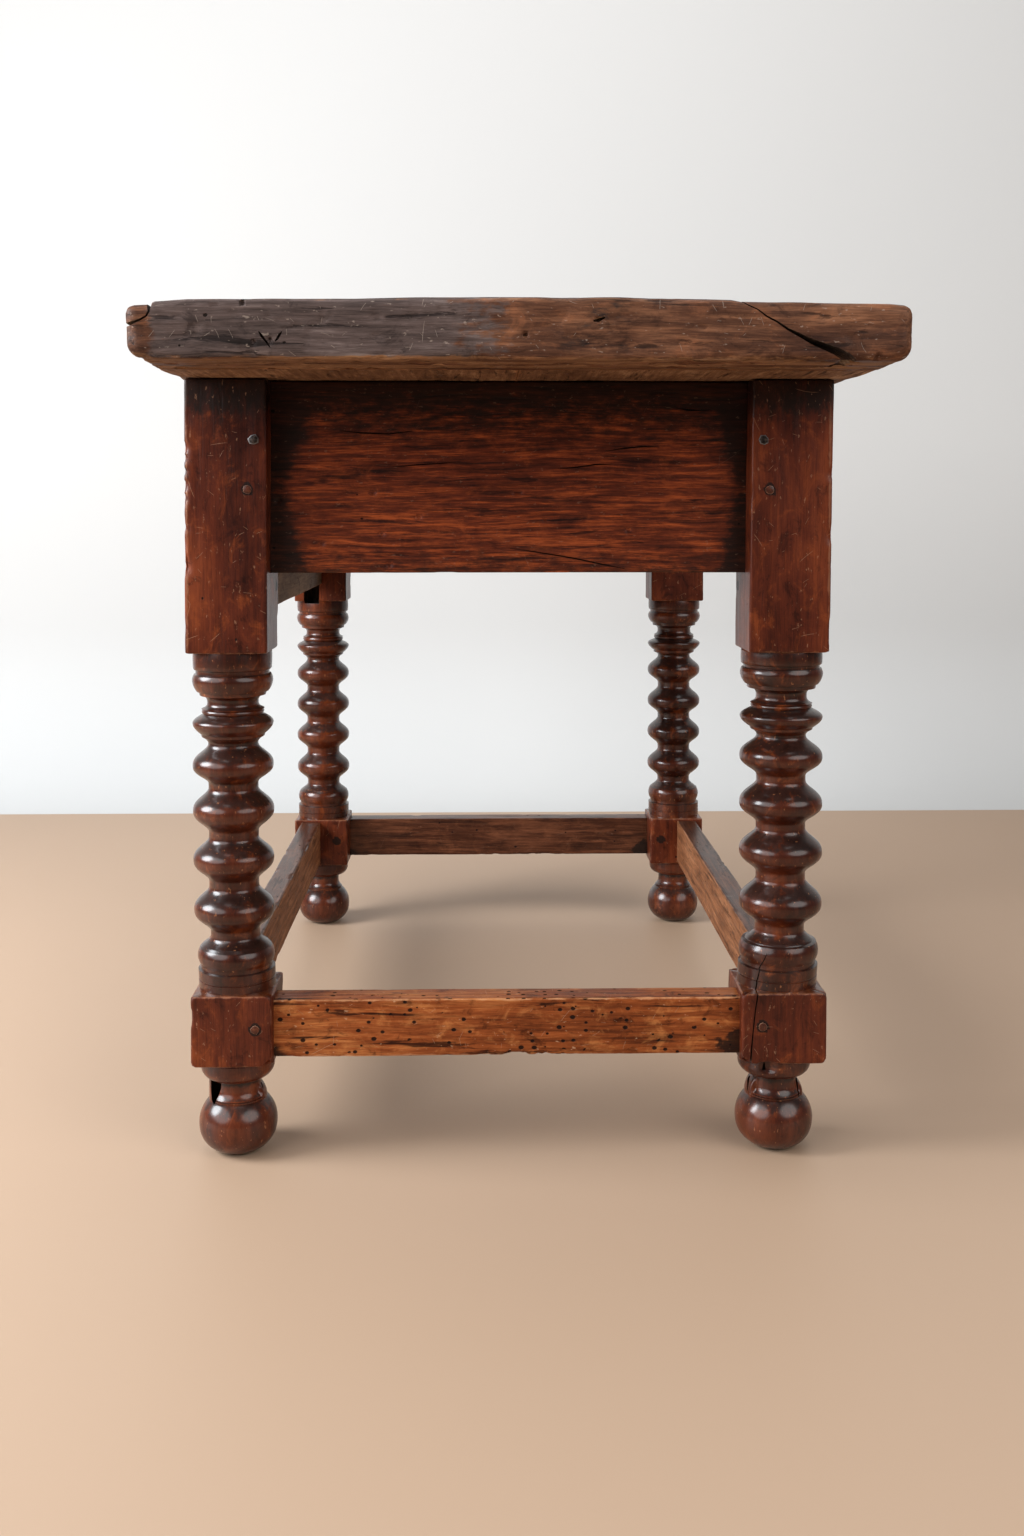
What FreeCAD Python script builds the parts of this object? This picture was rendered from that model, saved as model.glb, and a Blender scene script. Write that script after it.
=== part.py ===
import FreeCAD, Part
import math
import os

Vector = FreeCAD.Vector

# An old joined table with turned legs, a stretcher frame near the floor, a heavy overhanging top
# with cross cleats at its ends, and two drawers in one long side. Sizes are in millimetres.
# The origin lies on the floor under the middle of the top. X runs across the table, with the
# drawers on the -X side, called front. Y runs along it, with -Y called near. Z is up.
# The frame is drawn about its own middle, and the top sits a little off it, towards the back.

# Top
table_height = 785.0
top_length = 1180.0
top_width = 641.0
top_thickness = 52.0
cleat_width = 88.0
upper_edge_round = 7.0
lower_edge_round = 11.0
corner_round = 14.0
top_offset = 6.5
tongue_depth = 22.0
tongue_thickness = 15.0
tongue_stop = 34.0
board_dowel_diameter = 12.0
board_dowel_length = 84.0
board_dowel_spacing = 250.0
board_dowel_count = 4

# Drying split that opens through the near cleat, from its upper to its lower edge
split_top_inset = 147.5
split_run = 101.0
split_width = 7.0
split_depth = 62.0

# Place of the legs under the top
end_overhang = 168.0
side_overhang = 22.5
leg_section = 76.0

# Leg heights
block_below_rail = 25.0
lower_block_height = 67.0
foot_height = 91.0

# Turned mouldings, from the upper block downwards
turned_radius = 37.8
collar_height = 15.0
collar_groove_height = 4.0
collar_groove_depth = 2.2
upper_torus_height = 16.0
upper_torus_end_radius = 33.0
upper_fillet_height = 5.0
upper_fillet_radius = 31.0
upper_neck_height = 14.0
upper_neck_radius = 25.0
upper_neck_hollow = 3.0
ring_height = 6.0
ring_radius = 29.0
disc_lip_height = 3.0
disc_lip_radius = 35.5
disc_height = 13.0
lower_fillet_height = 3.5
lower_fillet_radius = 30.0
lower_neck_height = 4.5

# The row of beads fills the shaft between the two groups of mouldings
bead_pitch = 46.0
bead_neck_radius = 23.2
bead_neck_height = 8.0
bead_crest_height = 20.0
bead_crest_depth = 4.2

# Turned mouldings above the lower block
flare_height = 10.0
flare_radius = 30.0
flare_step = 2.0
lower_torus_height = 18.0
lower_torus_radius = 35.4
lower_torus_end_radius = 32.0
drum_groove_height = 3.5
drum_groove_depth = 3.9
drum_height = 18.5

# Bun foot
foot_collar_radius = 36.0
foot_collar_height = 12.0
foot_collar_round = 14.0
foot_neck_radius = 20.5
foot_neck_height = 4.0
foot_flare_height = 5.0
foot_ring_radius = 26.5
foot_ring_height = 3.0
bun_radius = 37.5
bun_middle_height = 28.0
bun_top_radius = 24.0
pad_radius = 16.0

# Aprons on both ends and the back
apron_height = 181.0
apron_thickness = 26.0
apron_setback = 25.0

# Rails and divider of the drawer side
rail_thickness = 30.0
rail_setback = 10.0
lower_rail_height = 70.0
upper_rail_height = 22.0
divider_width = 30.0

# Old mortise left open under the lower rail in the far front leg
open_mortise_width = 22.0
open_mortise_height = 19.0
open_mortise_depth = 34.0

# Strips that carry, guide and hold down the drawers
runner_height = 20.0
runner_rise = 1.0
runner_bearing = 24.0
guide_height = 25.0
stub_length = 8.0
stub_shoulder = 4.0

# Stretchers
end_stretcher_height = 55.0
end_stretcher_thickness = 31.0
side_stretcher_height = 62.0
side_stretcher_thickness = 28.0
stretcher_setback = 9.0

# Mortise and tenon joints
apron_tenon_thickness = 14.0
apron_tenon_shoulder = 18.0
end_tenon_length = 40.0
side_tenon_length = 26.0
lower_rail_shoulder = 12.0
upper_rail_shoulder = 4.0
divider_tenon_thickness = 10.0
divider_tenon_length = 10.0
divider_tenon_shoulder = 5.0
stretcher_tenon_thickness = 12.0
stretcher_tenon_length = 38.0
stretcher_tenon_shoulder = 8.0
fit_gap = 0.2

# Whittled pegs and forged nails
peg_sides = 8
peg_diameter = 9.0
peg_inset = 12.0
end_peg_inset = 20.0
apron_peg_drop = 12.0
apron_peg_length = 48.0
stretcher_peg_length = 38.0
stretcher_peg_rise = 2.5
stretcher_peg_inset = 15.5
cleat_pegs_per_board = 2
cleat_peg_spacing = 150.0
cleat_peg_stop = 6.0
top_peg_diameter = 14.0
top_peg_out = 15.0
top_peg_grip = 42.0
nail_diameter = 4.0
nail_length = 45.0
nail_head_diameter = 10.0
nail_head_height = 2.5
nail_inset = 14.0
nail_rise = 34.0

# Drawers
drawer_front_thickness = 22.0
drawer_side_thickness = 12.0
drawer_back_thickness = 12.0
drawer_bottom_thickness = 8.0
drawer_side_drop = 8.0
drawer_bottom_rise = 8.0
drawer_groove_depth = 5.0
drawer_back_inset = 12.0
drawer_back_drop = 5.0
drawer_side_gap = 1.5
drawer_head_gap = 2.0
drawer_stop_gap = 0.5
running_gap = 0.3
dovetail_count = 3
dovetail_length = 14.0
dovetail_slope = 0.2
dovetail_share = 0.56

# Turned drawer knob
knob_projection = 22.0
knob_radius = 14.0
knob_flange_radius = 12.0
knob_flange_height = 3.0
knob_neck_radius = 7.5
knob_neck_height = 6.0
knob_rim_height = 5.0
knob_crown_radius = 9.0
knob_spigot_radius = 6.0
knob_spigot_length = 18.0

# Places that follow from the sizes above
underside = table_height - top_thickness
leg_x = top_width / 2 - side_overhang - leg_section / 2
leg_y = top_length / 2 - end_overhang - leg_section / 2
half_leg = leg_section / 2
inner_x = leg_x - half_leg
inner_y = leg_y - half_leg
outer_x = leg_x + half_leg
outer_y = leg_y + half_leg
lower_block_top = foot_height + lower_block_height
lower_block_middle = foot_height + lower_block_height / 2
apron_bottom = underside - apron_height
apron_middle = underside - apron_height / 2
apron_face_x = outer_x - apron_setback
apron_back_x = apron_face_x - apron_thickness
apron_face_y = outer_y - apron_setback
apron_back_y = apron_face_y - apron_thickness
rail_face = outer_x - rail_setback
rail_back = rail_face - rail_thickness
rail_middle = rail_face - rail_thickness / 2
drawer_floor = apron_bottom + runner_rise + runner_height
drawer_ceiling = underside - upper_rail_height
lower_rail_bottom = drawer_floor - lower_rail_height
upper_block_bottom = lower_rail_bottom - block_below_rail
board_end = top_length / 2 - cleat_width
tongue_bottom = underside + (top_thickness - tongue_thickness) / 2

ends = (("near", -1), ("far", 1))
sides = (("front", -1), ("back", 1))

shapes = {}
cuts = {}


def block(xs, ys, zs):
    """Rectangular block between pairs of limits, given in either order."""
    low = Vector(min(xs), min(ys), min(zs))
    return Part.makeBox(abs(xs[1] - xs[0]), abs(ys[1] - ys[0]), abs(zs[1] - zs[0]), low)


def about(middle, width):
    """Limits of a width centred on a place."""
    return (middle - width / 2, middle + width / 2)


def grown(limits, gap):
    """Limits moved apart by a gap at both ends."""
    return (min(limits) - gap, max(limits) + gap)


def inside(limits, shoulder):
    """Limits drawn in by a shoulder at both ends."""
    return grown(limits, -shoulder)


def cut_from(node, tool):
    """Notes a recess to be cut from a node when every piece is known."""
    cuts.setdefault(node, []).append(tool)


def with_tenon(shape, receiver, xs, ys, zs):
    """Adds a tenon to a piece, and its mortise to the piece that receives it."""
    cut_from(receiver, block(grown(xs, fit_gap), grown(ys, fit_gap), grown(zs, fit_gap)))
    return shape.fuse(block(xs, ys, zs))


def turned(start, steps):
    """Solid turned about Z. A step is a (radius, height) to reach, or an arc's middle and end."""
    def at(place):
        return Vector(place[0], 0, place[1])

    edges = []
    here = start
    for step in steps:
        if isinstance(step[0], tuple):
            middle, there = step
            edges.append(Part.Arc(at(here), at(middle), at(there)).toShape())
        else:
            there = step
            edges.append(Part.LineSegment(at(here), at(there)).toShape())
        here = there
    edges.append(Part.LineSegment(at(here), at(start)).toShape())
    return Part.Face(Part.Wire(edges)).revolve(Vector(), Vector(0, 0, 1), 360)


def arc_down(widest, middle_height, end):
    """Arc that leaves its widest place upright and curves in to an end place."""
    across = widest - end[0]
    rise = end[1] - middle_height
    radius = (across ** 2 + rise ** 2) / (2 * across)
    angle = math.asin(rise / radius) / 2
    middle = (widest - radius * (1 - math.cos(angle)), middle_height + radius * math.sin(angle))
    return (middle, end)


def peg(start, along, length, diameter):
    """Whittled peg with flat sides, from a start place along a direction."""
    flat = []
    for corner in range(peg_sides):
        angle = 2 * math.pi * (corner + 0.5) / peg_sides
        flat.append(Vector(math.cos(angle) * diameter / 2, math.sin(angle) * diameter / 2, 0))
    solid = Part.Face(Part.makePolygon(flat + flat[:1])).extrude(Vector(0, 0, length))
    solid.Placement = FreeCAD.Placement(start, FreeCAD.Rotation(Vector(0, 0, 1), along))
    return solid


def pegged(group, start, along, length, diameter, nodes):
    """Adds a peg to a group, and its drilled hole to each piece that it goes through."""
    shapes.setdefault(group, []).append(peg(start, along, length, diameter))
    hole = Part.makeCylinder(diameter / 2 + fit_gap, length + fit_gap, start, along)
    for node in nodes:
        cut_from(node, hole)


def make_top():
    """Two long boards with a cross cleat at each end, held by tongues, dowels and pegs."""
    heights = (underside, table_height)
    half_width = top_width / 2
    for side, sx in sides:
        name = "top_board_" + side
        edge_x = top_offset + sx * half_width
        board = block((top_offset, edge_x), (-board_end, board_end), heights)
        board = rounded(board, lambda p: abs(p.x - edge_x) < fit_gap)
        for end, sy in ends:
            tongue_y = (sy * board_end, sy * (board_end + tongue_depth))
            tongue_x = (top_offset, edge_x - sx * tongue_stop)
            tongue_z = (tongue_bottom, tongue_bottom + tongue_thickness)
            board = with_tenon(board, "end_cleat_" + end, tongue_x, tongue_y, tongue_z)
            for number in range(cleat_pegs_per_board):
                place = top_offset + sx * (number + 0.5) * cleat_peg_spacing
                start = Vector(place, sum(tongue_y) / 2, table_height)
                length = top_thickness - cleat_peg_stop
                pegged("cleat_pegs", start, Vector(0, 0, -1), length, peg_diameter,
                       (name, "end_cleat_" + end))
        shapes[name] = board
    for end, sy in ends:
        cleat = block(about(top_offset, top_width), (sy * board_end, sy * top_length / 2), heights)
        corners = [e for e in cleat.Edges if abs(e.CenterOfMass.z - sum(heights) / 2) < fit_gap
                   and abs(e.CenterOfMass.y) > board_end + fit_gap]
        cleat = cleat.makeFillet(corner_round, corners)
        shapes["end_cleat_" + end] = rounded(cleat, lambda p: abs(p.y) > board_end + fit_gap)
    shapes["end_cleat_near"] = shapes["end_cleat_near"].cut(drying_split())
    middle = (board_dowel_count - 1) / 2
    for number in range(board_dowel_count):
        place = (number - middle) * board_dowel_spacing
        start = Vector(top_offset - board_dowel_length / 2, place, underside + top_thickness / 2)
        pegged("board_dowels", start, Vector(1, 0, 0), board_dowel_length, board_dowel_diameter,
               ("top_board_front", "top_board_back"))


def rounded(shape, chosen):
    """Rounds the upper and lower edges whose middle the chosen test accepts."""
    for height, radius in ((table_height, upper_edge_round), (underside, lower_edge_round)):
        level = [edge for edge in shape.Edges if abs(edge.CenterOfMass.z - height) < fit_gap]
        shape = shape.makeFillet(radius, [edge for edge in level if chosen(edge.CenterOfMass)])
    return shape


def drying_split():
    """Wedge that runs slantwise down the cleat's outer face and widens to the lower edge."""
    face = -top_length / 2 - fit_gap
    upper_x = top_offset + top_width / 2 - split_top_inset
    lower_x = upper_x + split_run
    outline = [Vector(upper_x, face, table_height + fit_gap), Vector(lower_x, face, underside - fit_gap),
               Vector(lower_x + split_width, face, underside - fit_gap)]
    return Part.Face(Part.makePolygon(outline + outline[:1])).extrude(Vector(0, split_depth, 0))


def leg_shaft():
    """Turned shaft between the two square blocks, listed downwards."""
    steps = []
    height = upper_block_bottom

    def down(drop, radius):
        nonlocal height
        height -= drop
        steps.append((radius, height))

    def torus(drop, radius, end_radius):
        nonlocal height
        middle = (radius, height - drop / 2)
        height -= drop
        steps.append((middle, (end_radius, height)))

    start = (0, height)
    down(0, turned_radius)
    down(collar_height, turned_radius)
    down(collar_groove_height, turned_radius - collar_groove_depth)
    torus(upper_torus_height, turned_radius, upper_torus_end_radius)
    down(0, upper_fillet_radius)
    down(upper_fillet_height, upper_fillet_radius)
    down(upper_neck_hollow, upper_neck_radius)
    down(upper_neck_height - 2 * upper_neck_hollow, upper_neck_radius)
    down(upper_neck_hollow, ring_radius)
    down(ring_height, ring_radius)
    down(disc_lip_height, disc_lip_radius)
    torus(disc_height, turned_radius, lower_fillet_radius)
    down(lower_fillet_height, lower_fillet_radius)
    down(0, bead_neck_radius)
    down(lower_neck_height, bead_neck_radius)
    foot_group = flare_height + flare_step + lower_torus_height + drum_groove_height + drum_height
    bead_zone = height - lower_block_top - foot_group
    bead_count = max(1, round(bead_zone / bead_pitch))
    pitch = bead_zone / bead_count
    flank = (pitch - bead_crest_height - bead_neck_height) / 2
    crest_radius = turned_radius - bead_crest_depth
    for bead in range(bead_count):
        down(bead_neck_height / 2, bead_neck_radius)
        down(flank, crest_radius)
        torus(bead_crest_height, turned_radius, crest_radius)
        down(flank, bead_neck_radius)
        down(bead_neck_height / 2, bead_neck_radius)
    down(flare_height, flare_radius)
    down(flare_step, lower_torus_end_radius)
    torus(lower_torus_height, lower_torus_radius, lower_torus_end_radius)
    down(drum_groove_height / 2, lower_torus_radius - drum_groove_depth)
    down(drum_groove_height / 2, lower_torus_radius)
    down(drum_height, lower_torus_radius)
    down(0, 0)
    return turned(start, steps)


def leg_foot():
    """Bun foot with a flared collar and a ringed neck, standing on a small flat pad."""
    collar_end = foot_height - foot_collar_height
    neck_top = collar_end - foot_collar_round
    flare_top = neck_top - foot_neck_height
    ring_top = flare_top - foot_flare_height
    bun_top = ring_top - foot_ring_height
    steps = [
        (foot_collar_radius, foot_height),
        (foot_collar_radius, collar_end),
        arc_down(foot_collar_radius, collar_end, (foot_neck_radius, neck_top)),
        (foot_neck_radius, flare_top),
        (foot_ring_radius, ring_top),
        (foot_ring_radius, bun_top),
        (bun_top_radius, bun_top),
    ]
    rising = arc_down(bun_radius, bun_middle_height, (bun_top_radius, bun_top))
    steps.append((rising[0], (bun_radius, bun_middle_height)))
    steps.append(arc_down(bun_radius, bun_middle_height, (pad_radius, 0)))
    steps.append((0, 0))
    return turned((0, foot_height), steps)


def make_legs():
    """Four posts, each one billet with square blocks, a turned shaft and a bun foot."""
    shaft = leg_shaft()
    foot = leg_foot()
    width = about(0, leg_section)
    post = block(width, width, (upper_block_bottom, underside))
    post = post.fuse([shaft, block(width, width, (foot_height, lower_block_top)), foot])
    post = post.removeSplitter()
    for side, sx in sides:
        for end, sy in ends:
            name = "leg_" + side + "_" + end
            leg = post.copy()
            leg.translate(Vector(sx * leg_x, sy * leg_y, 0))
            shapes[name] = leg
            start = Vector(sx * (leg_x + top_peg_out), sy * (leg_y + top_peg_out), table_height)
            pegged("top_pegs", start, Vector(0, 0, -1), top_thickness + top_peg_grip, top_peg_diameter,
                   (name, "top_board_" + side))
    pocket_bottom = lower_rail_bottom - open_mortise_height
    pocket_y = (inner_y, inner_y + open_mortise_depth)
    pocket_z = (pocket_bottom, lower_rail_bottom)
    cut_from("leg_front_far", block(about(-rail_middle, open_mortise_width), pocket_y, pocket_z))


def make_aprons():
    """Plank aprons of both ends and the back, tenoned into the legs and pegged."""
    heights = (apron_bottom, underside)
    tenon_z = inside(heights, apron_tenon_shoulder)
    for end, sy in ends:
        name = "end_apron_" + end
        plank_y = (sy * apron_face_y, sy * apron_back_y)
        apron = block((-inner_x, inner_x), plank_y, heights)
        tenon_y = about(sum(plank_y) / 2, apron_tenon_thickness)
        for side, sx in sides:
            leg = "leg_" + side + "_" + end
            reach = (sx * inner_x, sx * (inner_x + end_tenon_length))
            apron = with_tenon(apron, leg, reach, tenon_y, tenon_z)
            start = Vector(sx * (inner_x + end_peg_inset), sy * outer_y, apron_middle - apron_peg_drop)
            pegged("apron_pegs", start, Vector(0, -sy, 0), apron_peg_length, peg_diameter, (name, leg))
            make_nail(Vector(sx * (inner_x + nail_inset), sy * outer_y, apron_middle + nail_rise),
                      Vector(0, -sy, 0), (name, leg))
        shapes[name] = apron
    plank_x = (apron_back_x, apron_face_x)
    apron = block(plank_x, (-inner_y, inner_y), heights)
    tenon_x = about(sum(plank_x) / 2, apron_tenon_thickness)
    for end, sy in ends:
        leg = "leg_back_" + end
        apron = with_tenon(apron, leg, tenon_x, (sy * inner_y, sy * (inner_y + side_tenon_length)), tenon_z)
        start = Vector(outer_x, sy * (inner_y + peg_inset), apron_middle - apron_peg_drop)
        pegged("apron_pegs", start, Vector(-1, 0, 0), apron_peg_length, peg_diameter, ("back_apron", leg))
    shapes["back_apron"] = apron


def make_nail(start, along, nodes):
    """Forged nail with a low peaked head, driven from a face through the given pieces."""
    nail = turned((0, nail_length), [
        (nail_diameter / 2, nail_length),
        (nail_diameter / 2, 0),
        (nail_head_diameter / 2, 0),
        (0, -nail_head_height),
    ])
    nail.Placement = FreeCAD.Placement(start, FreeCAD.Rotation(Vector(0, 0, 1), along))
    shapes.setdefault("apron_nails", []).append(nail)
    for node in nodes:
        cut_from(node, Part.makeCylinder(nail_diameter / 2 + fit_gap, nail_length + fit_gap, start, along))


def make_drawer_frame():
    """Rails above and below the drawers, and the divider between them."""
    rails = (
        ("drawer_rail_lower", (lower_rail_bottom, drawer_floor), lower_rail_shoulder),
        ("drawer_rail_upper", (drawer_ceiling, underside), upper_rail_shoulder),
    )
    rail_x = (-rail_face, -rail_back)
    for name, heights, shoulder in rails:
        rail = block(rail_x, (-inner_y, inner_y), heights)
        tenon_x = about(-rail_middle, apron_tenon_thickness)
        for end, sy in ends:
            reach = (sy * inner_y, sy * (inner_y + side_tenon_length))
            rail = with_tenon(rail, "leg_front_" + end, tenon_x, reach, inside(heights, shoulder))
        shapes[name] = rail
    for end, sy in ends:
        start = Vector(-outer_x, sy * (inner_y + peg_inset), (lower_rail_bottom + drawer_floor) / 2)
        pegged("rail_pegs", start, Vector(1, 0, 0), stretcher_peg_length, peg_diameter,
               ("drawer_rail_lower", "leg_front_" + end))
    divider_y = about(0, divider_width)
    divider = block(rail_x, divider_y, (drawer_floor, drawer_ceiling))
    tenon_x = about(-rail_middle, divider_tenon_thickness)
    tenon_y = inside(divider_y, divider_tenon_shoulder)
    divider = with_tenon(divider, "drawer_rail_lower", tenon_x, tenon_y,
                         (drawer_floor - divider_tenon_length, drawer_floor))
    divider = with_tenon(divider, "drawer_rail_upper", tenon_x, tenon_y,
                         (drawer_ceiling, drawer_ceiling + divider_tenon_length))
    shapes["drawer_divider"] = divider


def bearer_strip(ys, heights, rail):
    """Strip from a front rail to the back apron, with a stub tenon at each end."""
    bearer = block((-rail_back, apron_back_x), ys, heights)
    stub_y = inside(ys, stub_shoulder)
    stub_z = inside(heights, stub_shoulder)
    bearer = with_tenon(bearer, rail, (-rail_back, -rail_back - stub_length), stub_y, stub_z)
    return with_tenon(bearer, "back_apron", (apron_back_x, apron_back_x + stub_length), stub_y, stub_z)


def make_bearers():
    """Runners under the drawers, guides beside them and kickers above them."""
    runner_z = (drawer_floor - runner_height, drawer_floor)
    kicker_z = (drawer_ceiling, underside)
    guide_z = (drawer_floor, drawer_floor + guide_height)
    for end, sy in ends:
        bearing = (sy * inner_y, sy * (inner_y - runner_bearing))
        against_apron = (sy * inner_y, sy * apron_back_y)
        runner = bearer_strip(bearing, runner_z, "drawer_rail_lower")
        shapes["runner_" + end] = runner.fuse(block((-inner_x, inner_x), against_apron, runner_z))
        shapes["guide_" + end] = block((-inner_x, inner_x), against_apron, guide_z)
        shapes["kicker_" + end] = bearer_strip(bearing, kicker_z, "drawer_rail_upper")
    middle = about(0, divider_width + 2 * runner_bearing)
    shapes["runner_centre"] = bearer_strip(middle, runner_z, "drawer_rail_lower")
    shapes["guide_centre"] = block((-rail_back, apron_back_x), about(0, divider_width), guide_z)
    shapes["kicker_centre"] = bearer_strip(middle, kicker_z, "drawer_rail_upper")


def make_stretchers():
    """Floor stretchers between the lower blocks, tenoned and pegged."""
    heights = about(lower_block_middle, end_stretcher_height)
    tenon_z = inside(heights, stretcher_tenon_shoulder)
    peg_z = lower_block_middle + stretcher_peg_rise
    face = outer_y - stretcher_setback
    for end, sy in ends:
        name = "end_stretcher_" + end
        ys = (sy * face, sy * (face - end_stretcher_thickness))
        bar = block((-inner_x, inner_x), ys, heights)
        for side, sx in sides:
            leg = "leg_" + side + "_" + end
            reach = (sx * inner_x, sx * (inner_x + stretcher_tenon_length))
            bar = with_tenon(bar, leg, reach, about(sum(ys) / 2, stretcher_tenon_thickness), tenon_z)
            start = Vector(sx * (inner_x + stretcher_peg_inset), sy * outer_y, peg_z)
            pegged("stretcher_pegs", start, Vector(0, -sy, 0), stretcher_peg_length, peg_diameter,
                   (name, leg))
        shapes[name] = bar
    heights = about(lower_block_middle, side_stretcher_height)
    tenon_z = inside(heights, stretcher_tenon_shoulder)
    face = outer_x - stretcher_setback
    for side, sx in sides:
        name = "side_stretcher_" + side
        xs = (sx * face, sx * (face - side_stretcher_thickness))
        bar = block(xs, (-inner_y, inner_y), heights)
        for end, sy in ends:
            leg = "leg_" + side + "_" + end
            reach = (sy * inner_y, sy * (inner_y + stretcher_tenon_length))
            bar = with_tenon(bar, leg, about(sum(xs) / 2, stretcher_tenon_thickness), reach, tenon_z)
            start = Vector(sx * outer_x, sy * (inner_y + stretcher_peg_inset), peg_z)
            pegged("stretcher_pegs", start, Vector(-sx, 0, 0), stretcher_peg_length, peg_diameter,
                   (name, leg))
        shapes[name] = bar


def dovetail(xs, ys, middle, root):
    """Tail that flares from its root width towards the drawer's face."""
    spread = root / 2 + dovetail_length * dovetail_slope
    outline = [Vector(xs[0], ys[0], middle - root / 2), Vector(xs[0], ys[0], middle + root / 2),
               Vector(xs[1], ys[0], middle + spread), Vector(xs[1], ys[0], middle - spread)]
    return Part.Face(Part.makePolygon(outline + outline[:1])).extrude(Vector(0, ys[1] - ys[0], 0))


def make_knob(place):
    """Turned knob with a flange on the drawer's face and a spigot in its hole."""
    head_start = knob_flange_height + knob_neck_height
    head_middle = (head_start + knob_projection) / 2
    knob = turned((0, -knob_spigot_length), [
        (knob_spigot_radius, -knob_spigot_length),
        (knob_spigot_radius, 0),
        (knob_flange_radius, 0),
        (knob_flange_radius, knob_flange_height),
        (knob_neck_radius, knob_flange_height),
        (knob_neck_radius, head_start),
        (knob_radius, head_middle - knob_rim_height / 2),
        (knob_radius, head_middle + knob_rim_height / 2),
        (knob_crown_radius, knob_projection),
        (0, knob_projection),
    ])
    knob.Placement = FreeCAD.Placement(place, FreeCAD.Rotation(Vector(0, 0, 1), Vector(-1, 0, 0)))
    return knob


def make_drawer(end, sy):
    """Dovetailed drawer: front, two sides, a housed back, a grooved bottom and a knob."""
    name = "drawer_" + end + "_"
    wide = (sy * (divider_width / 2 + drawer_side_gap), sy * (inner_y - drawer_side_gap))
    front_z = (drawer_floor + running_gap, drawer_ceiling - drawer_head_gap)
    side_z = (front_z[0], front_z[1] - drawer_side_drop)
    front_x = (-rail_face, -rail_face + drawer_front_thickness)
    side_x = (front_x[1], apron_back_x - drawer_stop_gap)
    back_x = (side_x[1] - drawer_back_inset - drawer_back_thickness, side_x[1] - drawer_back_inset)
    bottom_z = (side_z[0] + drawer_bottom_rise, side_z[0] + drawer_bottom_rise + drawer_bottom_thickness)
    inner = inside(wide, drawer_side_thickness)
    housed = grown(inner, drawer_groove_depth)
    shapes[name + "front"] = block(front_x, wide, front_z)
    shapes[name + "back"] = block(back_x, housed, (bottom_z[1], side_z[1] - drawer_back_drop))
    bottom_x = (front_x[1] - drawer_groove_depth, back_x[1])
    shapes[name + "bottom"] = block(bottom_x, housed, bottom_z)
    cut_from(name + "front", block(bottom_x, grown(housed, fit_gap), grown(bottom_z, fit_gap)))
    pitch = (side_z[1] - side_z[0]) / dovetail_count
    for label, outer, inwards in (("inner", wide[0], sy), ("outer", wide[1], -sy)):
        face = outer + inwards * drawer_side_thickness
        side = block(side_x, (outer, face), side_z)
        for tail in range(dovetail_count):
            middle = side_z[0] + (tail + 0.5) * pitch
            tail_x = (front_x[1], front_x[1] - dovetail_length)
            piece = dovetail(tail_x, (outer, face), middle, pitch * dovetail_share)
            side = side.fuse(piece)
            cut_from(name + "front", piece)
        cut_from(name + "side_" + label, block(bottom_x, grown(housed, fit_gap), grown(bottom_z, fit_gap)))
        cut_from(name + "side_" + label, shapes[name + "back"])
        shapes[name + "side_" + label] = side
    place = Vector(-rail_face, sum(wide) / 2, sum(front_z) / 2)
    shapes[name + "knob"] = make_knob(place)
    cut_from(name + "front", Part.makeCylinder(knob_spigot_radius + fit_gap, knob_spigot_length + fit_gap,
                                               place, Vector(1, 0, 0)))


def finished(name):
    """The piece with its recesses cut, or a group of solids, set about the middle of the top."""
    shape = shapes[name]
    if isinstance(shape, list):
        shape = Part.makeCompound(shape)
    elif name in cuts:
        shape = shape.cut(cuts[name]).removeSplitter()
    return shape.translated(Vector(-top_offset, 0, 0))


make_top()
make_legs()
make_aprons()
make_drawer_frame()
make_bearers()
make_stretchers()
for end_name, end_sign in ends:
    make_drawer(end_name, end_sign)

os.makedirs("parts", exist_ok=True)
for node_name in sorted(shapes):
    solid = finished(node_name)
    solid.exportStep("parts/" + node_name + ".step")
    print(node_name, len(solid.Solids), solid.isValid(), round(solid.Volume))
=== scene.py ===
import itertools
import math

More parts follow.
